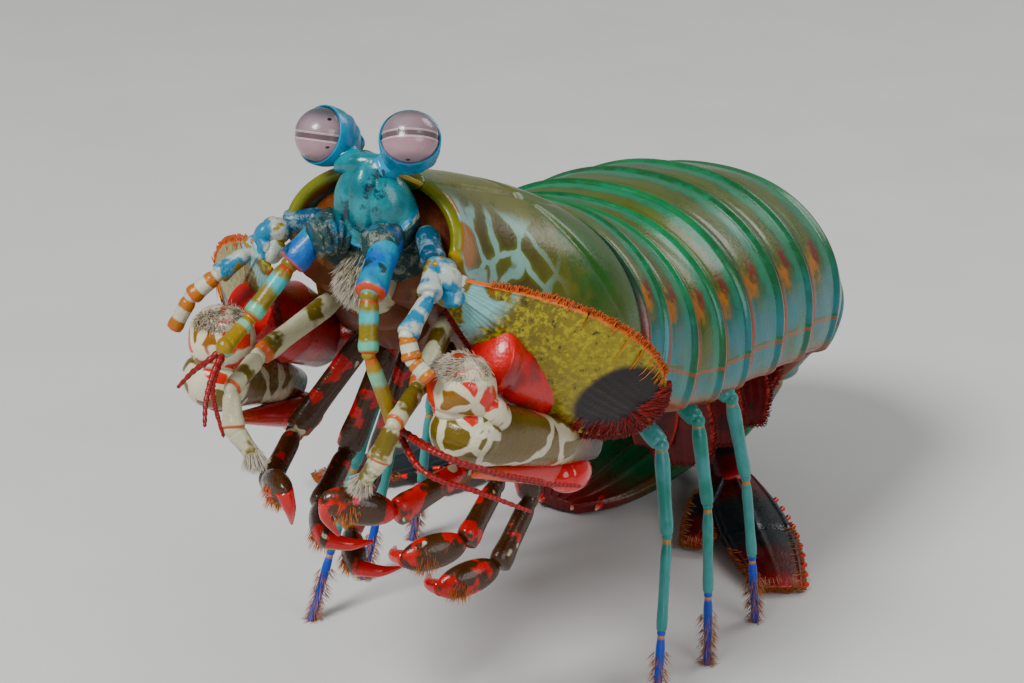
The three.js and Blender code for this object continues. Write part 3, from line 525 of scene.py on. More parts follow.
def make_materials():
    # Carapace: green back, olive towards the face, with olive cells in a pale blue net on its front flanks
    p = Paint("carapace_shell", (44, 92, 24), 0.30, 0.4)
    p.speckle((84, 98, 12), 70.0, 3.0, 0.42, 0.62)
    p.ring((104, 106, 8), 0.62, 0.12, 0.2, 0.3)
    net = p.use("net", Scale=215.0, Width=0.045, Warp=0.0022)
    low = p.aside()
    zone = p.both(p.step(p.along, 0.42, 0.66), p.step(low, 0.19, 0.25))
    p.layer(p.both(zone, 0.8), (112, 118, 40))
    inner = p.step(net.outputs["Depth"], 0.09, 0.16)
    p.layer(p.both(zone, inner), (92, 84, 4))
    p.layer(p.both(p.both(zone, inner), p.step(p.along, 0.84, 0.9)), (178, 120, 8))
    p.layer(p.both(zone, net.outputs["Mask"]), (172, 214, 202))
    near = p.both(p.step(p.along, 0.84, 0.96), p.step(low, 0.16, 0.24))
    p.layer(p.both(near, p.invert(inner)), (176, 210, 206))
    p.fade((124, 128, 40), 0.980, 0.988)
    p.ring((20, 70, 30), 0.0, 0.015, 0.03)
    p.layer(p.step(low, 0.475, 0.492), (178, 150, 50))
    p.finish(1.0, 0.4, 0.18, 0.25)

    # Plates of thorax and abdomen: emerald, an olive bar across each, teal flanks with rust and yellow marks
    p = Paint("body_shell", (0, 92, 50), 0.30, 0.4)
    p.speckle((14, 120, 70), 60.0, 3.0, 0.42, 0.64)
    p.ring((84, 98, 34), 0.36, 0.10, 0.16, 0.35)
    p.ring((0, 128, 92), 0.72, 0.06, 0.12, 0.25)
    p.ring((70, 84, 20), 0.985, 0.012, 0.03, 0.03)
    p.ring((0, 54, 34), 0.0, 0.07, 0.10, 0.05)
    side = p.calc("MINIMUM", p.around, p.calc("ABSOLUTE", p.calc("SUBTRACT", 0.5, p.around)))
    side = p.calc("MINIMUM", side, p.invert(p.around))
    lower = p.invert(p.step(side, 0.012, 0.085))
    p.layer(p.both(lower, p.step(p.noise(130.0, 2.0), 0.34, 0.56)), (0, 124, 130))
    p.layer(p.both(p.band(side, 0.066, 0.006, 0.016, 0.05), p.band(p.along, 0.30, 0.05, 0.12, 0.1)), (176, 118, 20))
    p.layer(p.both(p.band(side, 0.082, 0.006, 0.012, 0.05), p.band(p.along, 0.44, 0.05, 0.08, 0.1)), (112, 50, 12))
    p.layer(p.both(lower, p.band(p.along, 0.97, 0.02, 0.03)), (186, 128, 30))
    p.layer(p.both(lower, p.band(p.along, 0.1, 0.08, 0.06)), (150, 66, 20))
    belly = p.step(p.around, 0.53, 0.56)
    belly = p.both(belly, p.invert(p.step(p.around, 0.94, 0.97)))
    p.layer(belly, (150, 92, 66))
    p.finish(1.0, 0.35, 0.2, 0.3)

    # Soft underside of the forebody
    p = Paint("underside", (128, 76, 48), 0.5, 0.1, 0.15)
    p.speckle((92, 44, 26), 160.0, 4.0, 0.42, 0.62)
    p.speckle((160, 120, 84), 420.0, 3.0, 0.62, 0.70)
    p.finish(1.4, 0.3, 0.4, 0.3)

    # Face: sea blue above its ledge, with dark blots of painted shade for its grooves, and a grey rough zone below
    p = Paint("face_shell", (0, 112, 120), 0.22, 0.6)
    p.speckle((0, 150, 160), 300.0, 3.0, 0.42, 0.66)
    # Painted shade: dark blots laid by noise stand for the shade in the face's grooves
    p.speckle((0, 52, 66), 520.0, 4.0, 0.54, 0.66, 0.7)
    p.layer(p.band(p.extra, 0.40, 0.012, 0.012, 0.02), (20, 150, 200))
    p.layer(p.both(p.band(p.extra, 0.362, 0.018, 0.01, 0.04), p.step(p.noise(1100.0, 3.0, 0.7), 0.4, 0.6)),
            (220, 214, 200))
    p.layer(p.invert(p.step(p.extra, 0.31, 0.345)), (30, 62, 62))
    p.finish(1.6, 0.3, 0.35, 0.35)
    p = Paint("feeler_base", (44, 74, 72), 0.45, 0.15)
    p.speckle((146, 150, 138), 900.0, 4.0, 0.5, 0.62, 0.7)
    p.speckle((14, 96, 120), 420.0, 3.0, 0.56, 0.64)
    p.finish(2.4, 0.6, 0.7, 0.3)

    p = Paint("eye_cup", (0, 122, 158), 0.26, 0.5)
    p.speckle((0, 164, 204), 130.0, 3.0, 0.40, 0.62)
    p.speckle((0, 116, 104), 300.0, 3.0, 0.60, 0.72)
    p.ring((6, 54, 52), 0.70, 0.012, 0.012)
    p.finish(1.6, 0.3, 0.2, 0.22)

    # Cornea: two halves of fine facets parted by a band edged with white lines, a dark pupil in each half, and
    # painted shade darkening the top of the globe
    p = Paint("cornea", (128, 106, 118), 0.16, 0.8)
    p.speckle((164, 146, 152), 170.0, 3.0, 0.38, 0.66)
    p.layer(p.band(p.extra, 0.30, 0.08, 0.12), (180, 150, 158))
    p.layer(p.band(p.extra, 0.505, 0.060, 0.01), (112, 94, 102))
    # Painted shade: the top of the globe turns grey, as if in shadow
    p.layer(p.step(p.extra, 0.76, 0.98), (84, 84, 90))
    for at, width in CORNEA_LINES:
        p.layer(p.band(p.extra, at, width, 0.004), (238, 226, 220))
    where = put(p.tree, "ShaderNodeTexCoord").outputs["Object"]
    for spot in PUPILS:
        away = put(p.tree, "ShaderNodeVectorMath", {0: where, 1: tuple(place(vec(*spot)))},
                   operation="SUBTRACT").outputs[0]
        flat = put(p.tree, "ShaderNodeVectorMath", {0: away, 1: (1.0, 1.0, 1.6)}, operation="MULTIPLY").outputs[0]
        reach = put(p.tree, "ShaderNodeVectorMath", {0: flat}, operation="LENGTH").outputs["Value"]
        p.layer(p.invert(p.step(reach, 0.00015, 0.00027)), (6, 4, 8))
    facets = put(p.tree, "ShaderNodeTexVoronoi", {"Vector": where, "Scale": 7000.0}).outputs["Distance"]
    p.finish(2.0, 0.2, 0.10, 0.12, height=p.both(facets, 0.8))

    # Antennules: blue first article, then olive with pale blue rings and orange joints
    p = Paint("antennule_blue", (0, 112, 186), 0.34, 0.3)
    p.speckle((24, 150, 176), 330.0, 3.0, 0.46, 0.62)
    p.speckle((6, 62, 60), 500.0, 3.0, 0.60, 0.68)
    p.layer(p.invert(p.step(p.along, 0.10, 0.42)), (44, 66, 66))
    p.ring((206, 96, 20), 0.99, 0.02, 0.05, 0.06)
    p.finish(1.5, 0.4, 0.35, 0.25)
    p = Paint("antennule_olive", (134, 120, 6), 0.34, 0.3)
    p.ring((104, 196, 200), 0.36, 0.06, 0.12, 0.2)
    p.ring((120, 200, 170), 0.86, 0.04, 0.08, 0.1)
    p.ring((190, 80, 12), 0.02, 0.06, 0.08, 0.1)
    p.ring((206, 96, 20), 1.0, 0.02, 0.04)
    p.finish(1.5, 0.4, 0.35, 0.25)
    p = Paint("antennule_orange", (160, 134, 4), 0.34, 0.3)
    p.ring((150, 200, 170), 0.28, 0.05, 0.06, 0.1)
    p.layer(p.invert(p.step(p.along, 0.04, 0.14)), (200, 100, 16))
    p.fade((206, 120, 20), 0.9, 1.0)
    p.finish(1.5, 0.4, 0.35, 0.25)
    p = Paint("whip", (120, 20, 10), 0.4, 0.2)
    p.layer(p.band(put(p.tree, "ShaderNodeMath", {0: p.both(p.along, 38.0)}, operation="FRACT").outputs[0],
                   0.5, 0.1, 0.2), (176, 40, 16))
    p.finish(2.0, 0.3, 0.3, 0.3)

    # Antennae: cream and pale blue articles
    p = Paint("antenna_stem", (30, 84, 110), 0.34, 0.3)
    p.speckle((120, 150, 160), 700.0, 4.0, 0.5, 0.62, 0.7)
    p.finish(1.6, 0.45, 0.45, 0.25)
    p = Paint("antenna_shell", (206, 214, 204), 0.34, 0.3)
    p.speckle((40, 140, 176), 380.0, 3.0, 0.47, 0.56)
    p.speckle((150, 130, 30), 520.0, 3.0, 0.56, 0.63)
    p.finish(1.6, 0.45, 0.45, 0.25)
    p = Paint("antenna_olive", (190, 124, 6), 0.34, 0.3)
    p.ring((226, 226, 206), 0.5, 0.14, 0.05, 0.12)
    p.ring((214, 110, 30), 1.0, 0.07, 0.05)
    p.finish(1.6, 0.45, 0.4, 0.25)

    # Antennal scale: olive yellow with fine dark specks, a black patch at its end, an orange rim and a pale root
    p = Paint("scale_blade", (112, 100, 0), 0.34, 0.25)
    p.fade((150, 136, 0), 0.2, 0.6)
    p.speckle((176, 166, 8), 1500.0, 3.0, 0.46, 0.62, 0.7)
    p.speckle((72, 66, 0), 1100.0, 4.0, 0.56, 0.66, 0.7)
    far = p.calc("DIVIDE", p.calc("SUBTRACT", p.along, 0.825), 0.165)
    wide = p.calc("DIVIDE", p.calc("ADD", p.extra, 0.02), 0.72)
    patch = p.calc("ADD", p.calc("POWER", far, 2.0), p.calc("POWER", wide, 2.0))
    p.layer(p.invert(p.step(patch, 0.85, 1.25)), (22, 8, 12))
    net = p.use("net", Scale=300.0, Width=0.10, Warp=0.002)
    root = p.invert(p.step(p.along, 0.13, 0.22))
    p.layer(p.both(root, p.invert(p.step(net.outputs["Depth"], 0.12, 0.2))), (160, 208, 206))
    edge = p.aside()
    p.layer(p.step(edge, 0.468, 0.482), (226, 126, 6))
    p.fade((226, 126, 6), 0.978, 0.986)
    p.finish(1.8, 0.5, 0.3, 0.2)

    # Claws
    p = Paint("claw_hand", (238, 232, 206), 0.26, 0.5)
    net = p.use("net", Scale=330.0, Width=0.10, Warp=0.003)
    cells = p.step(net.outputs["Depth"], 0.09, 0.14)
    p.layer(cells, (112, 96, 4))
    p.layer(p.both(cells, p.step(net.outputs["Cell"], 0.72, 0.76)), (214, 80, 6))
    p.layer(p.invert(p.step(p.along, 0.06, 0.2)), (214, 84, 10))
    p.finish(1.2, 0.4, 0.3, 0.2)
    p = Paint("claw_wrist", (238, 232, 206), 0.26, 0.5)
    net = p.use("net", Scale=340.0, Width=0.10, Warp=0.003)
    cells = p.step(net.outputs["Depth"], 0.10, 0.16)
    p.layer(cells, (218, 84, 6))
    p.layer(p.both(cells, p.step(net.outputs["Cell"], 0.62, 0.66)), (132, 104, 6))
    p.fade((214, 204, 186), 0.72, 0.86)
    p.layer(p.both(p.step(p.along, 0.7, 0.84), p.step(p.noise(600.0, 3.0), 0.5, 0.6)), (150, 70, 36))
    p.finish(1.2, 0.4, 0.3, 0.2)
    p = Paint("claw_palm", (112, 92, 8), 0.26, 0.5)
    net = p.use("net", Scale=150.0, Width=0.045, Warp=0.004)
    p.layer(p.both(net.outputs["Mask"], p.invert(p.step(p.along, 0.6, 0.75))), (232, 226, 200))
    p.speckle((186, 84, 10), 120.0, 3.0, 0.56, 0.7)
    p.layer(p.band(p.around, 0.75, 0.09, 0.06, 0.1), (218, 62, 8))
    p.fade((58, 26, 8), 0.66, 0.9)
    p.finish(1.2, 0.4, 0.3, 0.2)
    p = Paint("claw_arm", (214, 62, 2), 0.30, 0.5)
    p.speckle((150, 24, 6), 260.0, 3.0, 0.48, 0.66)
    p.layer(p.invert(p.step(p.along, 0.05, 0.45)), (110, 12, 14))
    p.finish(1.2, 0.4, 0.3, 0.2)
    p = Paint("claw_bulb", (224, 26, 2), 0.12, 0.9)
    p.speckle((246, 84, 12), 90.0, 2.0, 0.48, 0.7)
    p.finish(1.0, 0.2, 0.08, 0.12)
    p = Paint("claw_finger", (210, 40, 6), 0.2, 0.6)
    p.fade((236, 120, 50), 0.55, 1.0)
    p.finish(1.0, 0.3, 0.2, 0.2)

    # Mouth limbs
    p = Paint("mouth_limb", (70, 44, 4), 0.26, 0.5)
    p.speckle((206, 66, 4), 420.0, 2.0, 0.56, 0.62)
    p.speckle((226, 220, 190), 360.0, 2.0, 0.68, 0.71)
    p.finish(1.5, 0.4, 0.35, 0.25)
    p = Paint("mouth_claw", (208, 30, 12), 0.2, 0.6)
    p.finish(1.5, 0.2, 0.15, 0.2)
    p = Paint("cleaner_limb", (222, 220, 190), 0.34, 0.3)
    p.speckle((110, 96, 20), 330.0, 3.0, 0.5, 0.58)
    p.ring((206, 110, 40), 1.0, 0.06, 0.05)
    p.finish(1.5, 0.4, 0.4, 0.2)

    # Legs, flaps and tail
    p = Paint("leg_shell", (92, 158, 156), 0.36, 0.3)
    p.speckle((60, 140, 128), 200.0, 3.0, 0.5, 0.64)
    p.layer(p.step(p.extra, 0.6, 0.95), (36, 92, 190))
    p.ring((206, 150, 70), 0.0, 0.05, 0.05)
    p.finish(1.5, 0.4, 0.3, 0.25)
    p = Paint("flap", (112, 24, 30), 0.45, 0.15)
    p.speckle((72, 10, 26), 300.0, 4.0, 0.48, 0.62)
    p.layer(p.step(p.aside(), 0.44, 0.48), (184, 70, 50))
    p.finish(2.0, 0.4, 0.4, 0.3)
    p = Paint("tail_plate", (34, 92, 60), 0.32, 0.35)
    p.speckle((84, 60, 26), 120.0, 3.0, 0.46, 0.62)
    p.fade((116, 34, 26), 0.55, 0.95)
    p.finish(1.2, 0.5, 0.4, 0.3)
    p = Paint("uropod_blade", (92, 12, 18), 0.34, 0.35)
    p.speckle((46, 8, 16), 150.0, 3.0, 0.5, 0.66)
    p.ring((10, 34, 38), 0.45, 0.16, 0.14, 0.2)
    p.fade((190, 40, 24), 0.86, 1.0)
    p.finish(1.4, 0.4, 0.35, 0.3)
    p = Paint("spine", (226, 58, 26), 0.26, 0.5)
    p.fade((250, 210, 180), 0.6, 1.0)
    p.finish(2.0, 0.2, 0.15, 0.15)

    # Fringes
    for name, root, tip in (("seta_maroon", (120, 24, 34), (168, 62, 54)),
                            ("seta_sand", (176, 110, 76), (226, 190, 158)),
                            ("seta_amber", (196, 104, 30), (232, 160, 70)),
                            ("seta_white", (214, 204, 180), (246, 240, 226))):
        p = Paint(name, root, 0.5, 0.0)
        p.layer(p.step(p.along, 0.2, 1.0), tip)
        p.finish(1.0, 0.2, 0.1, 0.15)


make_materials()


# Body axis

def body_stations():
    """Middle, slope and size at each edge between somites: every length laid end to end along its slope."""
    sizes = np.array(list(SOMITES.values()), float)
    length, slope = sizes[:, 0], np.radians(sizes[:, 1])
    y = AXIS_START + np.concatenate([[0], np.cumsum(length * np.cos(slope))])
    z = AXIS_HEIGHT + np.concatenate([[0], np.cumsum(length * np.sin(slope))])
    run = np.concatenate([[0], np.cumsum(length)])
    x = TAIL_SWING * smooth((run - TAIL_SWING_FROM) / TAIL_SWING_RUN)
    tilt = np.concatenate([[-REAR_TILT], (sizes[:-1, 1] + sizes[1:, 1]) / 2, [-168]])
    last = sizes[-1, 2:] * (0.86, 0.6, 0.55)
    return np.stack([x, y, z], -1), tilt, np.concatenate([sizes[:, 2:], [last]])


MIDDLES, TILTS, SIZES = body_stations()
HOSTS = list(SOMITES)


def station(index, t):
    """Middle, slope and size inside a somite, a straight blend from its front edge to its rear edge."""
    t = np.asarray(t, float)
    return (mix(MIDDLES[index], MIDDLES[index + 1], t[..., None]), mix(TILTS[index], TILTS[index + 1], t),
            mix(SIZES[index], SIZES[index + 1], t[..., None]))


def up_of(slope):
    slope = np.radians(slope)
    return np.stack([np.zeros_like(slope), -np.sin(slope), np.cos(slope)], -1)


def section(middle, slope, size, sides, grow):
    """D-shaped rings: a round back above the axis, below it a flat belly between two drooping rims."""
    turn = np.linspace(0, 2 * np.pi, sides, endpoint=False)[None]
    c, s = np.cos(turn), np.sin(turn)
    wide, tall, deep = (size[:, k, None] for k in range(3))
    grow = np.broadcast_to(grow, (len(middle), sides))
    x = (wide + grow) * np.sign(c) * np.abs(c) ** np.where(s < 0, 0.55, 0.92)
    rim = -SKIRT_DROP * np.abs(c) ** 3 * np.clip(-3 * s, 0, 1)
    z = np.where(s > 0, (tall + grow) * s, -deep * np.abs(s) ** 0.7 + rim)
    return middle[:, None] + x[..., None] * vec(1, 0, 0) + z[..., None] * up_of(slope)[:, None]


def somite(name):
    """A body ring: its front tucked under the plate before it, its rear rim a lip that overhangs the next."""
    index = HOSTS.index(name)
    rows, sides = int(44 * FINE) + 8, int(150 * FINE)
    t = np.linspace(0.005, 1.02, rows)
    middle, slope, size = station(index, t)
    length = np.linalg.norm(MIDDLES[index + 1] - MIDDLES[index])
    bow = 0.09 * length * abs(TILTS[index] - TILTS[index + 1]) / 60
    middle = middle + up_of(slope) * (bow * 4 * t * (1 - t))[:, None]
    turn = np.linspace(0, 2 * np.pi, sides, endpoint=False)[None]
    tall = np.clip(np.sin(turn), 0, 1)
    u = t[:, None]
    flank = hump(np.abs(np.cos(turn)), 0.93, 0.1) * (np.sin(turn) > -0.2)
    grow = LIP * (u ** 2 - 0.6) - 0.75 * np.clip(1 - u / 0.14, 0, 1) ** 1.5
    grow = grow + 0.22 * hump(u, 0.93, 0.05) - 0.16 * hump(u, 0.83, 0.03) - 0.12 * hump(u, 0.24, 0.05) * tall
    grow = grow + 0.16 * flank * hump(u, 0.5, 0.3) + 0.05 * np.sin(9 * turn + 5 * u) * hump(u, 0.6, 0.3)
    grow = grow - 0.9 * np.clip((u - 0.985) / 0.035, 0, 1) ** 2
    if name == "abdomen_6":
        keel = sum(hump(turn, k, 0.045) for k in np.radians([34, 58, 80, 100, 122, 146]))
        grow = grow + 0.55 * keel * smooth(u * 1.5)
    if name == "abdomen_5":
        grow = grow + 0.25 * sum(hump(turn, k, 0.05) for k in np.radians([40, 140])) * smooth(u * 1.5)
    grid = section(middle, slope, size, sides, grow)
    return Part(grid, "body_shell", along=np.repeat(t[:, None], sides, 1))


def shield_axis(t):
    """Middle, slope, half width and height of the shield's arch: it rises and narrows towards the face."""
    run, rise = CARAPACE_LENGTH * t, np.radians(CARAPACE_RISE)
    middle = np.stack([0 * t, AXIS_START - run * np.cos(rise), AXIS_HEIGHT + run * np.sin(rise)], -1)
    slope = -mix(REAR_TILT, CARAPACE_TILT, np.minimum(1, t * 2.2))
    wide = mix(CARAPACE_REAR_WIDE, CARAPACE_FRONT_WIDE, smooth(t * 1.1) ** 1.15)
    return middle, slope, wide, mix(CARAPACE_REAR_TALL, CARAPACE_FRONT_TALL, t ** 1.3)


def shield(t, angle, inset):
    """A point on the carapace: at an angle round the arch, and a little inside it."""
    middle, slope, wide, tall = shield_axis(t)
    c, s = np.cos(angle), np.sin(angle)
    x = (wide - inset) * np.sign(c) * np.abs(c) ** 0.92
    return middle + x[..., None] * vec(1, 0, 0) + up_of(slope) * ((tall - inset) * s)[..., None]


def rounding(edge):
    """0 well inside an edge, rising along a quarter circle to 1 at the edge itself."""
    e = np.clip(edge, 0, 1)
    return 1 - np.sqrt(1 - (1 - e) ** 2)


def carapace():
    """The shield: outer and inner faces one shell apart, rims rounded, two long grooves and a raised margin."""
    def at(u, v, face):
        reach = 106 - 12 * np.clip((u - 0.86) / 0.14, 0, 1) ** 2 - 5 * np.clip(1 - u / 0.1, 0, 1) ** 2
        angle = np.radians(90 - reach * (1 - 2 * v))
        edge = np.minimum(np.minimum(v, 1 - v) / 0.012, np.minimum(u, 1 - u) / 0.022)
        half = CARAPACE_THICK / 2
        inset = half - face * half * (1 - rounding(edge))
        w = 1 - 2 * v
        side = np.abs(w)
        relief = 0.28 * hump(np.minimum(v, 1 - v), 0.02, 0.014) + 0.22 * hump(u, 0.975, 0.02)
        relief = relief - 0.42 * hump(side, 0.2 + 0.06 * u, 0.022) * smooth((u - 0.12) / 0.2)
        relief = relief - 0.3 * hump(u, 0.44 - 0.5 * side ** 2, 0.02) * smooth((0.8 - side) / 0.2)
        relief = relief + 0.14 * np.sin(7 * side + 3 * u) * hump(u, 0.5, 0.35)
        return shield(u * np.ones_like(v), angle * np.ones_like(u), inset - (face > 0) * relief)
    return plate(at, int(90 * FINE), int(150 * FINE), "carapace_shell")


def trunk():
    """The body under the shield, a loft of D-shaped rings along the same rising axis."""
    t = np.linspace(0.012, 0.94, int(46 * FINE))
    middle, slope, wide, tall = shield_axis(t)
    inset = CARAPACE_THICK + 0.42
    size = np.stack([wide - inset, tall - inset, mix(5.2, 4.6, t) * 1.1], -1)
    sides = int(110 * FINE)
    turn = np.linspace(0, 2 * np.pi, sides, endpoint=False)[None]
    below = np.clip(-np.sin(turn), 0, 1)
    fold = -0.35 * hump(np.mod(t[:, None] * 6, 1), 0.5, 0.16) * below
    return Part(section(middle, slope, size, sides, fold), "underside")


build("carapace_plate", carapace(), "carapace")
build("trunk_flesh", trunk(), "trunk")
for somite_name in SOMITES:
    build(f"{somite_name}_ring", somite(somite_name), somite_name)


# Head and eyes

def rostral_plate():
    """A rounded triangular shield in front of the carapace, its rim a low bead and its middle a keel."""
    root = shield(np.array(1.0), np.array(np.pi / 2), CARAPACE_THICK / 2) + vec(0, -0.3, 0)
    tip = root + 4.6 * vec(0, -np.cos(np.radians(28)), np.sin(np.radians(28)))
    return blade(root - vec(0, -0.5, 0.7), tip, (1, 0, 0), 4.4, 0.9, lambda u: 1 - 0.8 * u ** 1.6, "carapace_shell",
                 dome=-0.8, arch=lambda u: 1 - 0.6 * u, rows=int(40 * FINE), cols=int(40 * FINE),
                 relief=lambda u, w: 0.16 * hump(w, 0, 0.12) + 0.12 * hump(np.abs(w), 0.9, 0.06))


def head():
    """The face: an ovoid carved by a U-shaped groove, its ledge curved over the rough bases of the feelers."""
    def face_relief(polar, turn):
        lateral = np.sin(polar) * np.cos(turn) * 4.6
        height = -np.cos(polar) * 5.6
        front = smooth(-np.sin(turn) * 2)
        reach = np.hypot(lateral, np.minimum(height - 1.6, 0) * 0.9)
        groove = hump(reach, 1.45, 0.26) * smooth((5.2 - height) / 1.2)
        ridge = hump(reach, 0.0, 0.8) * smooth((height - 0.6) / 0.8)
        cheeks = hump(np.abs(lateral), 2.9, 0.8) * hump(height, 1.2, 1.6)
        ledge = height - 0.25 * lateral ** 2 * 0.35
        lip = 0.1 * hump(ledge, -1.2, 0.35) - 0.1 * hump(ledge, -2.0, 0.4)
        rough = smooth((-1.6 - ledge) / 0.5) * 0.02 * np.sin(17 * turn + 4 * polar) * np.sin(23 * polar)
        return 1 + front * (0.06 * ridge - 0.09 * groove + 0.05 * cheeks + lip) + rough
    fine = int(120 * FINE)
    shell = ovoid(FACE + vec(0.6, 0, 0), (4.2, 3.2, 5.7), "face_shell", FACE_UP, sides=fine, rows=fine,
                  shape=face_relief)
    local = (shell.points - FACE) @ np.stack([vec(1, 0, 0), unit(FACE_UP)], -1)
    shell.span[:, 2] = (local[:, 1] - 0.0875 * local[:, 0] ** 2) / 12 + 0.5
    brow = [FACE + vec(-2.7, -1.0, 4.9), FACE + vec(0, -1.3, 5.0), FACE + vec(2.7, -1.0, 4.9)]
    parts = [shell,
             ovoid(FACE + vec(0, 1.6, -3.6), (6.0, 3.6, 3.4), "feeler_base", FACE_UP, sides=70, rows=50,
                   shape=lambda polar, turn: 1 + 0.03 * np.sin(9 * turn) * np.sin(11 * polar)),
             tube(brow, [1.2, 1.45, 1.2], "face_shell", across=(0, 1, 0), sides=30, rows=40, extra=0.9,
                  shape=lambda t, a: 1 + 0.06 * np.sin(4 * a + 9 * t))]
    for hand in (1, -1):
        base = [FACE + vec(hand * 1.6, -1.6, -1.8), FACE + vec(hand * 2.7, -2.8, -1.6),
                FACE + vec(hand * 3.6, -4.4, -1.9)]
        parts.append(tube(base, [1.7, 2.0, 1.75], "feeler_base", (0, 0, 1), 0.9, 34, 40,
                          shape=lambda t, a: 1 + 0.04 * np.sin(9 * a + 20 * t) + 0.05 * np.sin(26 * t)))
    return parts


# Each eye: middle of the globe, way it looks, way square to its middle band, height of that band
EYES = {"left": (vec(5.26, -28.41, 65.02), unit(vec(0.369, -0.624, 0.689)), unit(vec(-0.246, 0.434, 0.867)), 0.0),
        "right": (vec(-4.6, -27.4, 63.75), unit(vec(-0.286, -0.872, 0.397)), unit(vec(-0.027, 0.292, 0.956)),
                  -0.08)}
EYE_RADIUS = 2.62
# Out along the eye's axis, over the rim and back in: distance from the globe's middle, radius
CUP_PROFILE = np.array([(-3.6, 0.3), (-3.55, 1.2), (-3.3, 1.75), (-2.9, 2.15), (-2.2, 2.5), (-1.4, 2.72),
                        (-0.6, 2.84), (0.1, 2.86), (0.42, 2.82), (0.5, 2.74), (0.48, 2.66), (0.3, 2.62),
                        (-0.4, 2.4), (-1.2, 1.9)])


def cornea(side):
    """The eye's globe: upper and lower halves swell a little on each side of a level middle band."""
    centre, axis, band, level = EYES[side]
    part = ovoid(centre, (EYE_RADIUS, EYE_RADIUS * 1.02, EYE_RADIUS), "cornea", axis, vec(0, 0, 1), int(96 * FINE),
                 int(80 * FINE))
    way = unit(part.points - centre)
    height = way @ band - level
    part.points = centre + (part.points - centre) * (1 - 0.022 * hump(height, 0, 0.15))[:, None]
    part.span[:, 2] = 0.5 + height / 2
    return part


def eye_cup(side, hand):
    """The barrel round the back of the globe: nearly straight up to a thin rim, and set on a short neck."""
    centre, axis, _, _ = EYES[side]
    steps = np.linspace(0, len(CUP_PROFILE) - 1, int(80 * FINE))
    t, r = (np.interp(steps, np.arange(len(CUP_PROFILE)), column) for column in CUP_PROFILE.T)
    side_way, rise = frame_along(axis[None], vec(0, 0, 1))
    turn = np.linspace(0, 2 * np.pi, int(84 * FINE), endpoint=False)
    lump = hump(t, -2.2, 1.0)[:, None] * (0.05 * np.sin(3 * turn + 1) + 0.02 * np.sin(7 * turn + 4 * t[:, None]))
    ripple = r[:, None] * (1 + lump)
    grid = ((centre + axis * t[:, None])[:, None] + side_way * (ripple * np.cos(turn))[..., None]
            + rise * (ripple * np.sin(turn))[..., None])
    root, back = vec(hand * 1.7, FACE[1] - 1.2, FACE[2] + 4.9), centre - 3.0 * axis
    stalk = tube([root, mix(root, back, 0.5) + vec(hand * 0.2, 0.1, 0.2), back], [1.35, 1.3, 1.7], "eye_cup",
                 across=(0, 0, 1), sides=30, rows=34, shape=lambda t, a: 1 + 0.05 * np.cos(26 * t)
                 + 0.04 * np.sin(5 * a))
    cup = Part(grid, "eye_cup", along=np.repeat(np.linspace(0, 1, len(t))[:, None], len(turn), 1))
    return [cup, stalk]


build("rostral_shield", rostral_plate(), "rostral_plate")
build("face", head(), "head")
for side_name, side_hand in SIDES:
    build(f"cornea_{side_name}", cornea(side_name), f"eye_{side_name}")
    build(f"eye_cup_{side_name}", eye_cup(side_name, side_hand), f"eyestalk_{side_name}")


# Feelers

def limb(joints, radii, paints, across=(1, 0, 0), flat=1.0, sides=24, starts=None, extras=None):
    """A chain of articles from joint to joint with a small round condyle at each joint between them."""
    joints = np.asarray(joints, float)
    parts = []
    for k in range(len(joints) - 1):
        paint = paints[k] if isinstance(paints, (list, tuple)) else paints
        extra = extras[k] if extras else 0.0
        start = starts[k] if starts else radii[k]
        parts.append(article(joints[k], joints[k + 1], start, radii[k + 1], paint, across, flat, sides,
                             extra=extra))
        if k:
            ball = min(start, radii[k]) * 0.9
            parts.append(ovoid(joints[k], (ball, ball * flat, ball), paint, joints[k + 1] - joints[k - 1], across,
                               16, 10, extra=extra))
    return parts


def whip(joints):
    """A many-ringed lash: a thin tube whose radius swells and narrows once for each of its rings."""
    length = np.linalg.norm(np.diff(np.asarray(joints), axis=0), axis=1).sum()
    rings = np.round(length / WHIP_RING)
    return tube(joints, WHIP_RADII, "whip", across=(0, 1, 0.2), sides=9, rows=int(rings * 4 * FINE) + 12,
                shape=lambda t, a: 1 + 0.13 * np.cos(2 * np.pi * rings * t))


ANTENNULES = {
    "left": ([(3.0, -27.4, 56.4), (4.58, -34.5, 51.75), (5.4, -36.0, 46.8), (7.48, -34.03, 38.45)],
             [[(14.85, -36.4, 38.4), (19.4, -30.8, 35.4), (22.8, -26.9, 34.2)],
              [(13.4, -37.8, 39.5), (17.8, -34.4, 37.2), (21.3, -31.4, 36.0)],
              [(12.0, -37.4, 37.2), (16.6, -35.0, 35.2), (20.5, -32.4, 33.2)]]),
    "right": ([(-3.0, -27.2, 56.4), (-6.2, -30.8, 51.9), (-8.2, -34.6, 47.4), (-8.8, -38.0, 45.4)],
              [[(-10.0, -38.8, 44.2), (-11.7, -39.0, 42.8), (-13.4, -39.2, 40.9)],
               [(-9.4, -38.8, 42.8), (-9.6, -38.9, 40.6), (-8.5, -38.9, 36.8)],
               [(-8.6, -40.2, 43.6), (-8.4, -41.8, 41.4), (-7.8, -43.0, 39.4)]]),
}
ANTENNAE = {"left": [(5.4, -25.6, 55.6), (8.2, -29.0, 54.0), (9.3, -31.8, 51.8), (9.3, -35.9, 49.2),
                     (10.2, -36.4, 47.2), (12.1, -36.4, 45.7)],
            "right": [(-5.6, -25.4, 55.0), (-9.6, -26.0, 54.2), (-12.6, -27.9, 51.3), (-14.8, -30.1, 49.2),
                      (-17.0, -31.4, 47.0), (-18.6, -32.2, 43.6)]}
KNOB = {"left": vec(9.2, -28.9, 52.4), "right": vec(-10.0, -27.6, 52.8)}
SCALE_ROOT, SCALE_TIP, SCALE_ACROSS = vec(10.4, -29.0, 51.6), vec(23.58, -13.38, 36.49), vec(0.66, 0.18, 0.73)
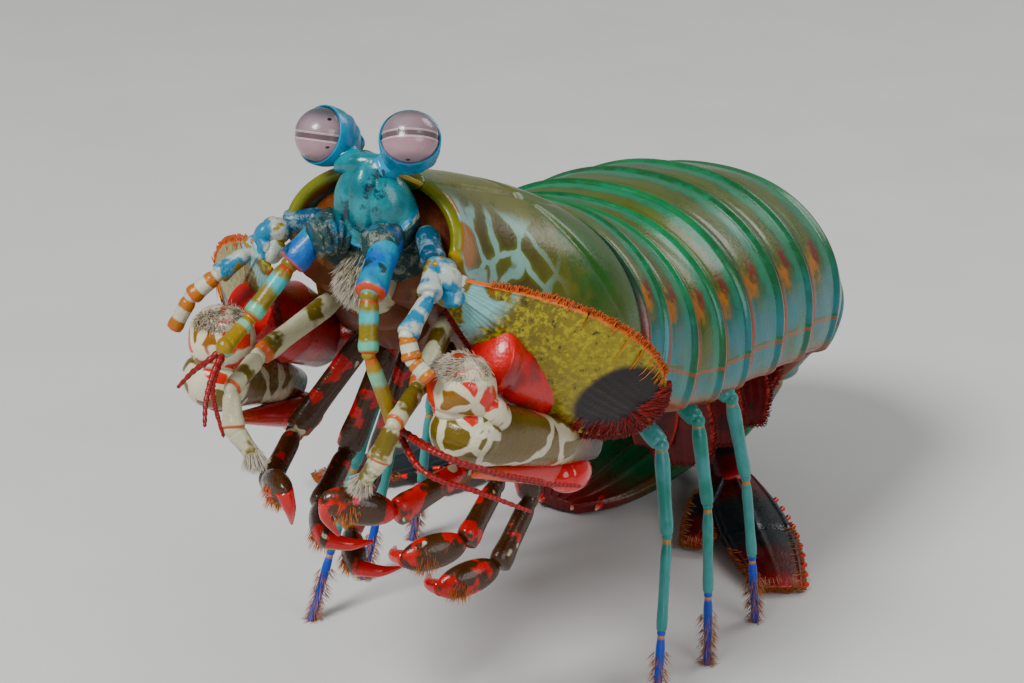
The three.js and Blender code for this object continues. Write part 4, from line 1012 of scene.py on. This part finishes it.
SCALE_WIDE, SCALE_WIDEST = 6.3, 0.66
ANTENNULE_PAINTS = ["antennule_blue", "antennule_olive", "antennule_orange"]
ANTENNULE_RADII, ANTENNULE_STARTS = [1.75, 1.3, 0.85, 0.72], [1.6, 0.95, 0.72]
WHIP_RADII, WHIP_RING = [0.34, 0.3, 0.26, 0.18], 0.75
ANTENNA_PAINTS = ["antenna_stem", "antenna_shell", "antenna_shell", "antenna_olive", "antenna_olive"]
ANTENNA_RADII, ANTENNA_STARTS = [1.3, 1.05, 1.1, 0.95, 0.85, 0.7], [1.2, 0.8, 0.75, 0.8, 0.8]
# Folds of an antenna's knob: step from its middle, radii, way of its long axis
KNOB_FOLDS = (((-0.3, 0, 1.0), (1.35, 1.2, 1.5), (1, -0.2, 0.3)),
              ((0.7, -0.4, 0.3), (1.2, 1.2, 1.7), (0.5, 0.4, -1)),
              ((0.9, -0.7, -1.2), (0.9, 1.0, 1.5), (1, 0.3, -0.2)),
              ((-0.6, -0.8, -0.8), (0.9, 1.0, 1.3), (0.1, -1, -1)),
              ((1.5, 0.4, -0.5), (0.8, 0.8, 1.2), (0.3, 0, 1)), ((0.1, -1.5, -0.1), (0.6, 0.6, 0.9), (1, 0, 1)))


def scale_outline(u):
    """Half width of the scale: it widens from a narrow root, then closes in a round end."""
    swell = 0.26 + 0.74 * np.sin(np.pi / 2 * np.minimum(1, u / SCALE_WIDEST))
    return swell * np.sqrt(np.clip(1 - (np.maximum(0, u - SCALE_WIDEST) / (1.003 - SCALE_WIDEST)) ** 2, 0.002, 1))


RIM_SIDE, RIM_TIP, RIM_STEP = 60, 20, 0.4


def rim(root, tip, across, width, outline, count, start, end, left=1):
    """Even steps round a blade's edge, up one side and down the other, each with its way outwards."""
    root, tip, across = (np.asarray(p, float) for p in (root, tip, across))
    along = tip - root
    forward = unit(along)
    side = unit(across - forward * (across @ forward))
    u = np.concatenate([np.linspace(0, 1, RIM_SIDE), np.ones(RIM_TIP), np.linspace(1, 0, RIM_SIDE)])
    w = left * np.concatenate([-np.ones(RIM_SIDE), np.linspace(-1, 1, RIM_TIP), np.ones(RIM_SIDE)])
    flat = np.stack([u * np.linalg.norm(along), w * width * outline(u)], -1)
    run = np.concatenate([[0], np.cumsum(np.linalg.norm(np.diff(flat, axis=0), axis=1))])
    where = mix(start, end, np.linspace(0, 1, count)) * run[-1]
    x, y = (np.interp(where, run, flat[:, k]) for k in range(2))
    dx, dy = (np.interp(where + RIM_STEP, run, flat[:, k]) - np.interp(where - RIM_STEP, run, flat[:, k])
              for k in range(2))
    out = np.stack([-dy, dx], -1) * left
    out = out / np.maximum(np.linalg.norm(out, axis=1, keepdims=True), 1e-9)
    points = root + forward * x[:, None] + side * y[:, None]
    return points, forward * out[:, :1] + side * out[:, 1:], np.cross(forward, side), forward


FRINGE_DEPTH = 0.5


def fringe(name, blade_of, count, length, width, paint, seed, start, end, left=1, lean=0.5, bend=(0, 0, 0),
           spread=0.16, taper=(0.6, 0.6)):
    """Setae along a blade's edge: all lean towards the tip, with lengths and angles from seeded random draws."""
    rng = np.random.default_rng(SEED + seed)
    points, out, normal, forward = rim(*blade_of, count, start, end, left)
    jitter = rng.normal(0, 1, (count, 3))
    roots = points - out * (FRINGE_DEPTH * rng.uniform(0.2, 1.0, (count, 1))) + normal * (0.16 * jitter[:, :1])
    way = unit(out + forward * lean + normal * spread * jitter[:, 1:2] + forward * 0.12 * jitter[:, 2:])
    order = np.linspace(0, 1, count)[:, None]
    ends = mix(0.35, 1.0, np.clip(np.minimum(order, 1 - order) / 0.08, 0, 1))
    size = mix(taper[0], taper[1], smooth((order - 0.35) / 0.5)) * ends
    reach = length * rng.uniform(0.8, 1.08, (count, 1)) * size
    setae(name, roots, roots + way * reach, width, paint, bend)


def spine(root, tip, radius):
    """A smooth thorn: a tube that thins to a point."""
    radii = [radius, radius * 0.72, radius * 0.08]
    return tube([root, mix(root, tip, 0.5), tip], radii, "spine", across=(0.3, 0.5, 0.8), sides=10, rows=16)


def knob_fold(p, t):
    return 1 + 0.05 * np.sin(3 * t + 2 * p) * np.sin(p) - 0.06 * hump(p, 1.9, 0.14)


def scale_relief(u, w):
    """A low middle rib that fades towards the tip, a bead near the rim and fine ribs between."""
    rib = 0.2 * hump(w, 0.05, 0.07) * (1 - u) + 0.16 * hump(np.abs(w), 0.94, 0.035)
    return rib + 0.03 * np.sin(46 * w + 9 * u) * hump(w, 0, 0.7)


for side_name, side_hand in SIDES:
    stem, whips = ANTENNULES[side_name]
    feeler = limb(stem, ANTENNULE_RADII, ANTENNULE_PAINTS, sides=32, starts=ANTENNULE_STARTS)
    start = mix(vec(*stem[3]), vec(*stem[2]), 0.12)
    feeler += [ovoid(stem[3], (0.85, 0.85, 1.0), "antennule_orange", sides=20, rows=14)]
    feeler += [whip([start, *lash]) for lash in whips]
    build(f"feeler_{side_name}", feeler, f"antennule_{side_name}")
    second = limb(ANTENNAE[side_name], ANTENNA_RADII, ANTENNA_PAINTS, sides=28, starts=ANTENNA_STARTS)
    for shift, radii, way in KNOB_FOLDS:
        second.append(ovoid(KNOB[side_name] + flip(shift, side_hand), radii, "antenna_shell", flip(way, side_hand),
                            sides=40, rows=30, shape=knob_fold))
    build(f"second_feeler_{side_name}", second, f"antenna_{side_name}")
    leaf = (*(flip(point, side_hand) for point in (SCALE_ROOT, SCALE_TIP, SCALE_ACROSS)), SCALE_WIDE)
    fan = blade(*leaf, 0.95, scale_outline, "scale_blade", dome=side_hand * 1.1, rows=int(130 * FINE),
                cols=int(70 * FINE), relief=scale_relief)
    build(f"scale_leaf_{side_name}", fan, f"antennal_scale_{side_name}")
    edge = (*leaf, scale_outline)
    fringe(f"scale_fringe_{side_name}", edge, int(4200 * FINE), 2.9, 0.13, "seta_maroon",
           10 + side_hand, 0.42, 0.985, left=-1, lean=0.15, taper=(1.0, 0.34))
    fringe(f"scale_comb_{side_name}", edge, int(420 * FINE), 4.6, 0.15, "seta_amber", 30 + side_hand,
           0.04, 0.40, left=-1, lean=-0.1, bend=(0, 0, -1.2), spread=0.1, taper=(1.0, 0.5))


# Claws

CLAW = {"root": (10.8, -9.0, 37.6), "arm_back": (15.6, -9.8, 36.6), "arm_front": (13.2, -27.4, 45.2),
        "wrist": (13.0, -32.2, 43.4), "hand_front": (13.5, -32.4, 39.6), "hand_back": (17.1, -12.4, 32.0),
        "bulb": (15.2, -14.8, 29.9), "tip": (13.6, -31.2, 35.0)}


def claw(side, hand):
    """The folded claw: an upper arm, a lobed wrist, a palm turned back below and a finger with a round heel."""
    at = {key: flip(p, hand) for key, p in CLAW.items()}
    upright = (0, 0.3, 1)
    fine = int(70 * FINE)

    def palm_swell(t, a):
        rim_fold = 0.07 * hump(np.sin(a), 0.8, 0.25) * hump(t, 0.55, 0.3)
        hollow = 0.13 * hump(np.sin(a), -0.9, 0.35) * hump(t, 0.6, 0.3)
        return 1 + rim_fold - hollow + 0.02 * np.sin(5 * a + 9 * t)
    front, back = at["hand_front"], at["hand_back"]
    palm = tube([front, mix(front, back, 0.35) + vec(hand * 0.3, 0, 0.1), mix(front, back, 0.7), back],
                [3.2, 2.8, 2.3, 1.4], "claw_palm", upright, 0.8, fine, int(110 * FINE), shape=palm_swell)
    knuckle = ovoid(at["hand_front"] + vec(hand * 0.1, -0.2, 0.0), (3.2, 3.0, 2.9), "claw_hand", (0.1, 0.2, 1),
                    sides=fine, rows=50, shape=lambda p, t: 1 + 0.05 * np.sin(2 * t + 1) * np.sin(p)
                    - 0.07 * hump(p, 2.2, 0.1))
    wrist = ovoid(at["wrist"] + vec(0, 0, 0.2), (3.25, 3.2, 3.3), "claw_wrist", (0.15, 0.1, 1), sides=fine, rows=56,
                  shape=lambda p, t: 1 + 0.06 * np.sin(3 * t + 1) * np.sin(2 * p) - 0.06 * hump(p, 1.0, 0.09)
                  - 0.05 * hump(p, 2.2, 0.08))
    lobe = ovoid(at["wrist"] + vec(hand * 2.2, 1.0, -1.9), (1.9, 1.6, 2.5), "claw_wrist", (hand * 0.45, 0.75, -0.7),
                 sides=44, rows=34)
    build(f"palm_{side}", [palm, wrist, knuckle, lobe], f"claw_hand_{side}")
    def arm_swell(t, a):
        fold = 0.08 * hump(t, 0.88, 0.04) + 0.1 * hump(np.sin(a), -0.7, 0.3) * hump(t, 0.5, 0.3)
        return 1 + 0.04 * np.sin(3 * a + 4 * t) - fold
    arm = tube([at["arm_back"], mix(at["arm_back"], at["arm_front"], 0.5), at["arm_front"]], [3.4, 4.2, 3.0],
               "claw_arm", upright, 0.8, fine, int(80 * FINE), shape=arm_swell)
    hip = tube([at["root"], mix(at["root"], at["arm_back"], 0.6), at["arm_back"]], [2.6, 3.0, 3.3], "claw_arm",
               (0, 1, 0), 0.8, 40, 30)
    build(f"upper_arm_{side}", [arm, hip], f"claw_arm_{side}")
    finger = tube([at["bulb"], mix(at["bulb"], at["tip"], 0.5), at["tip"]], [1.8, 1.1, 0.35], "claw_finger",
                  upright, 0.8, 36, 60, shape=lambda t, a: 1 + 0.1 * hump(np.sin(a), 1, 0.3))
    heel = ovoid(at["bulb"] + vec(hand * 0.2, -0.2, 0.0), (2.3, 2.1, 3.3), "claw_bulb", (0, 1, -0.15), sides=56,
                 rows=44, shape=lambda p, t: 1 + 0.05 * np.sin(2 * t) * np.sin(p) - 0.05 * hump(p, 0.9, 0.1))
    build(f"striking_finger_{side}", [finger, heel], f"claw_finger_{side}")
    rng = np.random.default_rng(SEED + 40)
    count = int(1300 * FINE)
    angle, height = rng.uniform(0, 2 * np.pi, count), rng.uniform(0.55, 0.98, count)
    level = np.sqrt(1 - height ** 2)
    normal = np.stack([level * np.cos(angle), level * np.sin(angle), height], -1)
    roots = at["wrist"] + vec(0, 0, 0.2) + normal * (3.15, 3.1, 3.2)
    way = unit(normal * 0.5 + vec(-hand * 0.5, -0.9, -0.3) + rng.normal(0, 0.3, (count, 3)))
    setae(f"wrist_hair_{side}", roots, roots + way * rng.uniform(0.5, 1.1, (count, 1)), 0.08, "seta_white",
          rings=4)


for side_name, side_hand in SIDES:
    claw(side_name, side_hand)


# Mouth limbs

CLEANER = [(6.0, -22.0, 46.4), (8.6, -32.6, 42.9), (8.75, -37.2, 41.0), (7.8, -38.3, 37.6), (6.0, -37.8, 35.2)]
GRASPERS = [([(4.2, -19.0, 42.4), (9.4, -25.2, 32.4), (7.0, -33.8, 30.6), (2.4, -38.2, 32.6)], (2.6, -36.6, 28.4)),
            ([(4.8, -14.4, 39.4), (8.6, -16.6, 27.6), (8.4, -22.6, 23.6), (4.6, -27.4, 22.8)], (1.2, -23.8, 22.0)),
            ([(5.2, -9.6, 37.4), (9.0, -10.0, 23.6), (8.6, -16.0, 18.4), (5.0, -21.0, 17.2)], (1.6, -17.6, 16.6))]


TUFT_WIDTH, TUFT_SPREAD = 0.1, 0.45


def tuft(name, centre, reach, way, count, length, paint, seed):
    """A brush: setae rooted all over a small ball and leaning one way, with seeded random lengths."""
    rng = np.random.default_rng(SEED + seed)
    normal = unit(rng.normal(0, 1, (count, 3)) + np.asarray(way, float) * 0.8)
    roots = np.asarray(centre, float) + normal * reach
    direction = unit(np.asarray(way, float) + normal * TUFT_SPREAD + rng.normal(0, 0.12, (count, 3)))
    tips = roots + direction * length * rng.uniform(0.6, 1.1, (count, 1))
    setae(name, roots, above(tips, 0.3), TUFT_WIDTH, paint, rings=4)


def mouth_limbs(side, hand):
    """A slender cleaning limb with a brush, then three limbs whose round hands fold a hooked claw."""
    cleaner = flip(CLEANER, hand)
    build(f"cleaning_limb_{side}", limb(cleaner, [1.2, 1.0, 0.85, 1.05, 0.65], "cleaner_limb", (0, 0.3, 1), 0.9),
          f"maxilliped_1_{side}")
    tuft(f"cleaning_brush_{side}", cleaner[4] + vec(0, 0, 0.2), 0.6, (-hand * 0.3, -0.2, -0.8), int(520 * FINE),
         1.5, "seta_white", seed=60)
    for k, (joints, tip) in enumerate(GRASPERS):
        joints, tip = flip(joints, hand), flip(tip, hand)
        fold = unit(joints[3] - joints[2])
        parts = limb(joints[:3], [1.3, 1.25, 1.35], "mouth_limb", (0, 0, 1), 0.75)
        length = np.linalg.norm(joints[3] - joints[2])
        parts.append(ovoid(mix(joints[2], joints[3], 0.55), (1.75, 1.3, length * 0.56), "mouth_limb", fold,
                           (0, 0, 1), 36, 26, shape=lambda p, t: 1 + 0.04 * np.sin(2 * t) * np.sin(p)))
        parts.append(tube([joints[3], mix(joints[3], tip, 0.5) + fold * 0.7, tip], [0.9, 0.62, 0.12], "mouth_claw",
                          (0, 0, 1), 1.0, 18, 30))
        build(f"grasping_limb_{k + 3}_{side}", parts, f"maxilliped_{k + 3}_{side}")
        tuft(f"grasping_hair_{k + 3}_{side}", mix(joints[2], joints[3], 0.7), 1.2, unit(vec(0, -0.4, -1)),
             int(170 * FINE), 1.3, "seta_amber", seed=70 + k)


def mouth():
    """The lip and jaws: three swellings between the limb bases, furrowed down the middle."""
    furrow = dict(shape=lambda p, t: 1 - 0.07 * hump(np.cos(t), 0, 0.14) * (np.sin(t) < 0)
                  + 0.02 * np.sin(7 * t) * np.sin(6 * p))
    return [ovoid(vec(0, -26.4, 49.8), (3.0, 2.8, 3.0), "cleaner_limb", sides=60, rows=44, **furrow),
            ovoid(vec(0, -21.6, 45.2), (3.4, 3.0, 3.4), "underside", sides=50, rows=36, **furrow),
            ovoid(vec(0, -24.2, 47.4), (3.4, 2.8, 2.8), "underside", sides=50, rows=36, **furrow)]


for side_name, side_hand in SIDES:
    mouth_limbs(side_name, side_hand)
build("lips_and_jaws", mouth(), "mouthparts")
tuft("lip_hair", FACE + vec(0, -1.2, -5.4), 2.2, unit(vec(0.1, -0.7, -0.7)), int(900 * FINE), 1.7, "seta_white",
     seed=90)


# Legs, flaps and tail fan

LEG_OUT, LEG_HEIGHT = [10.4, 17.0, 19.0, 20.2, 21.2], [31.0, 26.2, 17.0, 7.5, -0.35]
LEG_RADII, LEG_TONES = [1.35, 1.05, 0.72, 0.62, 0.48], [0.1, 0.3, 0.6, 1.0]
LEG_LEAN = [("thorax_6", [0, -1.6, -3.6, -6.8, -9.6]), ("thorax_7", [0, -0.6, -1.4, -3.0, -4.6]),
            ("thorax_8", [0, 0.6, 1.2, 1.4, 1.0])]
FLAP_LENGTH = [11.0, 10.5, 9.5, 7.0, 6.5]


def legs(side, hand):
    """Three slender legs: four articles each, thinning to a blunt foot on the floor, with setae above it."""
    for k, (host, lean) in enumerate(LEG_LEAN):
        index = HOSTS.index(host)
        middle = mix(MIDDLES[index], MIDDLES[index + 1], 0.5)
        out = hand * (np.array(LEG_OUT) + 0.5 * k)
        joints = np.stack([out, middle[1] + np.array(lean), np.array(LEG_HEIGHT)], -1)
        leg = limb(joints, LEG_RADII, "leg_shell", (0, 1, 0), 0.8, extras=LEG_TONES)
        build(f"walking_leg_{k + 1}_{side}", leg, f"leg_{k + 1}_{side}")
        rng = np.random.default_rng(SEED + 20 + k)
        count = int(260 * FINE)
        t = rng.uniform(0.25, 0.97, count)[:, None]
        normal = unit(rng.normal(0, 1, (count, 3)) * (1, 1, 0.2))
        roots = mix(joints[3], joints[4], t) + normal * mix(0.85, 0.5, t) * 0.9
        tips = roots + unit(normal + vec(0, 0, -1.2)) * rng.uniform(0.7, 1.5, (count, 1))
        setae(f"leg_hair_{k + 1}_{side}", roots, above(tips, 0.05), 0.08, "seta_sand", rings=4)


def flap_outline(u):
    return 0.42 + 0.58 * np.sin(np.pi * np.minimum(1, u * 0.75 + 0.1))


def flaps(side, hand):
    """Swimming flaps: two overlapping lobes under each of the first five rings, edged with long setae."""
    for k, length in enumerate(FLAP_LENGTH):
        middle, slope, size = station(HOSTS.index("abdomen_1") + k, 0.5)
        up, back = up_of(slope), vec(0, np.cos(np.radians(slope)), np.sin(np.radians(slope)))
        root = middle + vec(hand * 7.6, 0, 0) - up * (size[2] - 0.8)
        tip = root - up * length + back * (-1.5 if k > 2 else 1.5) + vec(hand * 2.2, 0, 0)
        outer = (root, tip, vec(1, 0, 0), 4.6)
        ribbed = dict(relief=lambda u, w: 0.12 * np.sin(26 * w + 4 * u) * hump(w, 0, 0.8) + 0.2 * hump(w, 0.1, 0.1))
        inner_root = root - back * 0.9 + vec(-hand * 1.2, 0, 0)
        inner_tip = mix(root, tip, 0.86) - back * 1.2 - vec(hand * 3.2, 0, 0)
        lobes = [blade(*outer, 1.1, flap_outline, "flap", rows=34, cols=26, **ribbed),
                 blade(inner_root, inner_tip, vec(1, 0.1, 0), 3.0, 0.9, flap_outline, "flap", rows=30, cols=22,
                       **ribbed)]
        build(f"swimming_flap_{k + 1}_{side}", lobes, f"pleopod_{k + 1}_{side}")
        fringe(f"flap_fringe_{k + 1}_{side}", (*outer, flap_outline), int(420 * FINE), 1.9, 0.11, "seta_maroon",
               100 + k, 0.12, 0.88)


TAIL = MIDDLES[-1]
# Teeth of the telson: distance from its middle line, distance ahead of its tip, length
TEETH = ((2.2, 0.2, 2.2), (5.4, 1.6, 2.6), (8.0, 5.4, 2.6))


def telson():
    """The end plate: a broad blade with a middle keel, three low keels on each side and six stout teeth."""
    root = TAIL + vec(0, 1.4, 0)
    tip = vec(root[0] - 2.0, root[1] - 22, 1.1)

    def relief(u, w):
        keels = hump(w, 0, 0.05) + 0.7 * hump(np.abs(w), 0.32, 0.035) + 0.7 * hump(np.abs(w), 0.58, 0.035)
        return 0.5 * keels * smooth(u * 6) * smooth((1.05 - u) * 4) + 0.35 * hump(np.abs(w), 0.92, 0.05)
    parts = [blade(root, tip, (1, 0, 0), 11.8, 3.4, lambda u: 1 - 0.34 * u - 0.42 * u ** 6, "tail_plate",
                   rows=int(90 * FINE), cols=int(110 * FINE), relief=relief)]
    forward = unit(tip - root)
    for out, back, length in TEETH:
        for hand in (1, -1):
            base = tip - forward * (back + 1.2) + vec(hand * out * 0.86, 0, 0.1)
            parts.append(spine(base, base + forward * length + vec(hand * 0.5, 0, 0), 0.75))
    return parts


def paddle_outline(u):
    return 0.42 + 0.58 * np.sin(np.pi * np.minimum(1, u * 0.8 + 0.12))


def uropod(side, hand):
    """A side fan: a stem, a spined outer paddle and a narrow inner blade, each edged with setae."""
    root = TAIL + vec(hand * 9.6, 1.0, 1.2)
    wrist = vec(TAIL[0] + hand * 16.4, TAIL[1] - 8.4, 2.6)
    tip = vec(TAIL[0] + hand * 31.0, TAIL[1] - 28.6, 0.7)
    paddle = (mix(wrist, root, 0.15), tip, vec(hand * 0.8, 0.6, 0), 4.4)
    inner = (mix(wrist, root, 0.3), wrist + vec(hand * 1.2, -15.0, -1.6), vec(1, 0, 0), 2.6)
    stem = [root, mix(root, wrist, 0.5) + vec(0, 0, 0.4), wrist]
    parts = [tube(stem, [2.6, 2.7, 2.3], "uropod_blade", (1, 0, 0), 0.8, 36, 34),
             blade(*paddle, 1.8, paddle_outline, "uropod_blade", rows=int(80 * FINE), cols=int(44 * FINE),
                   relief=lambda u, w: 0.3 * hump(w, 0, 0.1) * (1 - u) + 0.14 * hump(np.abs(w), 0.9, 0.06)
                   - 0.3 * hump(u, 0.52, 0.02)),
             blade(*inner, 1.3, paddle_outline, "uropod_blade", rows=int(60 * FINE), cols=int(30 * FINE),
                   relief=lambda u, w: 0.25 * hump(w, 0, 0.12) * (1 - 0.6 * u))]
    points, out, _, forward = rim(*paddle, paddle_outline, 10, 0.1 if hand < 0 else 0.56, 0.44 if hand < 0 else 0.9)
    for p, o in zip(points, out):
        base = p - o * 0.5
        parts.append(spine(base, base + (o * 0.7 + forward * 0.9) * 1.5, 0.36))
    stem_way = unit(vec(hand * 0.5, -0.9, -0.12))
    parts.append(spine(wrist + vec(-hand * 1.0, -0.5, -0.3), wrist + stem_way * 7.5 + vec(-hand * 1.6, 0, -0.6),
                       1.0))
    build(f"tail_fan_{side}", parts, f"uropod_{side}")
    fringe(f"paddle_fringe_{side}", (*paddle, paddle_outline), int(1000 * FINE), 3.0, 0.13, "seta_sand",
           130, 0.3, 0.8)
    fringe(f"inner_fringe_{side}", (*inner, paddle_outline), int(700 * FINE), 2.4, 0.12, "seta_sand",
           140, 0.14, 0.86)


for side_name, side_hand in SIDES:
    legs(side_name, side_hand)
    flaps(side_name, side_hand)
    uropod(side_name, side_hand)
build("tail_plate", telson(), "telson")


# Studio: a pale floor, three soft lights and the camera

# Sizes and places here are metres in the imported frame; lamps as (name, place, size, watts)
FLOOR_REACH, FLOOR_ROUGHNESS, FLOOR_COLOURS = 3.0, 0.7, ((0.60, 0.60, 0.59, 1), (0.68, 0.68, 0.67, 1))
LAMPS = (("key_light", (-0.12, -0.50, 0.55), 0.25, 6.5), ("fill_light", (0.6, -0.25, 0.30), 0.4, 1.6),
         ("back_light", (0.25, 0.6, 0.5), 0.4, 1.8))
LAMP_TARGET, WORLD_STRENGTH = vec(0, 0, 0.035), 0.30


def studio():
    """A pale floor sheet and soft lamps: a key from the upper left, a fill from the right, a light behind."""
    tree_owner = bpy.data.materials.new("pale_floor")
    tree_owner.use_nodes = True
    tree = tree_owner.node_tree
    shader = tree.nodes["Principled BSDF"]
    shader.inputs["Roughness"].default_value = FLOOR_ROUGHNESS
    where = put(tree, "ShaderNodeTexCoord").outputs["Object"]
    grain = put(tree, "ShaderNodeTexNoise", {"Vector": where, "Scale": 40.0, "Detail": 5.0}).outputs["Fac"]
    shade = put(tree, "ShaderNodeValToRGB", {"Fac": grain})
    for element, colour in zip(shade.color_ramp.elements, FLOOR_COLOURS):
        element.color = colour
    tree.links.new(shade.outputs["Color"], shader.inputs["Base Color"])
    mesh = bpy.data.meshes.new("floor_sheet")
    corners = np.array([(-1, -1, 0), (1, -1, 0), (1, 1, 0), (-1, 1, 0)]) * FLOOR_REACH
    mesh.from_pydata(corners.tolist(), [], [(0, 1, 2, 3)])
    mesh.materials.append(tree_owner)
    floor = bpy.data.objects.new("floor_sheet", mesh)
    bpy.context.scene.collection.objects.link(floor)
    for name, spot, size, power in LAMPS:
        lamp = bpy.data.lights.new(name, "AREA")
        lamp.shape = "DISK"
        lamp.size, lamp.energy = size, power
        light = bpy.data.objects.new(name, lamp)
        light.location = spot
        light.rotation_euler = lamp_turn(unit(LAMP_TARGET - vec(*spot)))
        bpy.context.scene.collection.objects.link(light)
    world = bpy.data.worlds.new("soft_room")
    world.use_nodes = True
    background = world.node_tree.nodes["Background"]
    background.inputs["Color"].default_value = (1.0, 1.0, 1.0, 1)
    background.inputs["Strength"].default_value = WORLD_STRENGTH
    bpy.context.scene.world = world


def lamp_turn(way):
    """Turns for an object whose -Z looks the given way and whose top stays up."""
    flat = np.hypot(way[0], way[1])
    return (np.arctan2(flat, -way[2]), 0.0, np.arctan2(-way[0], way[1]))


AZIMUTH, ELEVATION, ROLL, FOCAL = np.radians(27.3), np.radians(19.9), np.radians(1.15), 2553.6
EYE_POINT = vec(116.13, -222.32, 126.59)
SENSOR, IMAGE_WIDTH = 36.0, 1024


def camera():
    """The camera: its axes from azimuth, elevation and roll, its lens from the focal length in pixels."""
    back = vec(np.sin(AZIMUTH) * np.cos(ELEVATION), -np.cos(AZIMUTH) * np.cos(ELEVATION), np.sin(ELEVATION))
    level = vec(np.cos(AZIMUTH), np.sin(AZIMUTH), 0)
    rise = np.cross(back, level)
    right = np.cos(ROLL) * level + np.sin(ROLL) * rise
    up = np.cross(back, right)
    data = bpy.data.cameras.new("camera")
    data.sensor_fit, data.sensor_width = "HORIZONTAL", SENSOR
    data.lens = SENSOR * FOCAL / IMAGE_WIDTH
    data.clip_start, data.clip_end = 0.01, 20.0
    holder = bpy.data.objects.new("camera", data)
    matrix = np.eye(4)
    matrix[:3, :3], matrix[:3, 3] = np.stack([right, up, back], -1), (EYE_POINT - ORIGIN) * MM
    holder.matrix_world = Matrix(matrix.tolist())
    bpy.context.scene.collection.objects.link(holder)
    bpy.context.scene.camera = holder


studio()
camera()
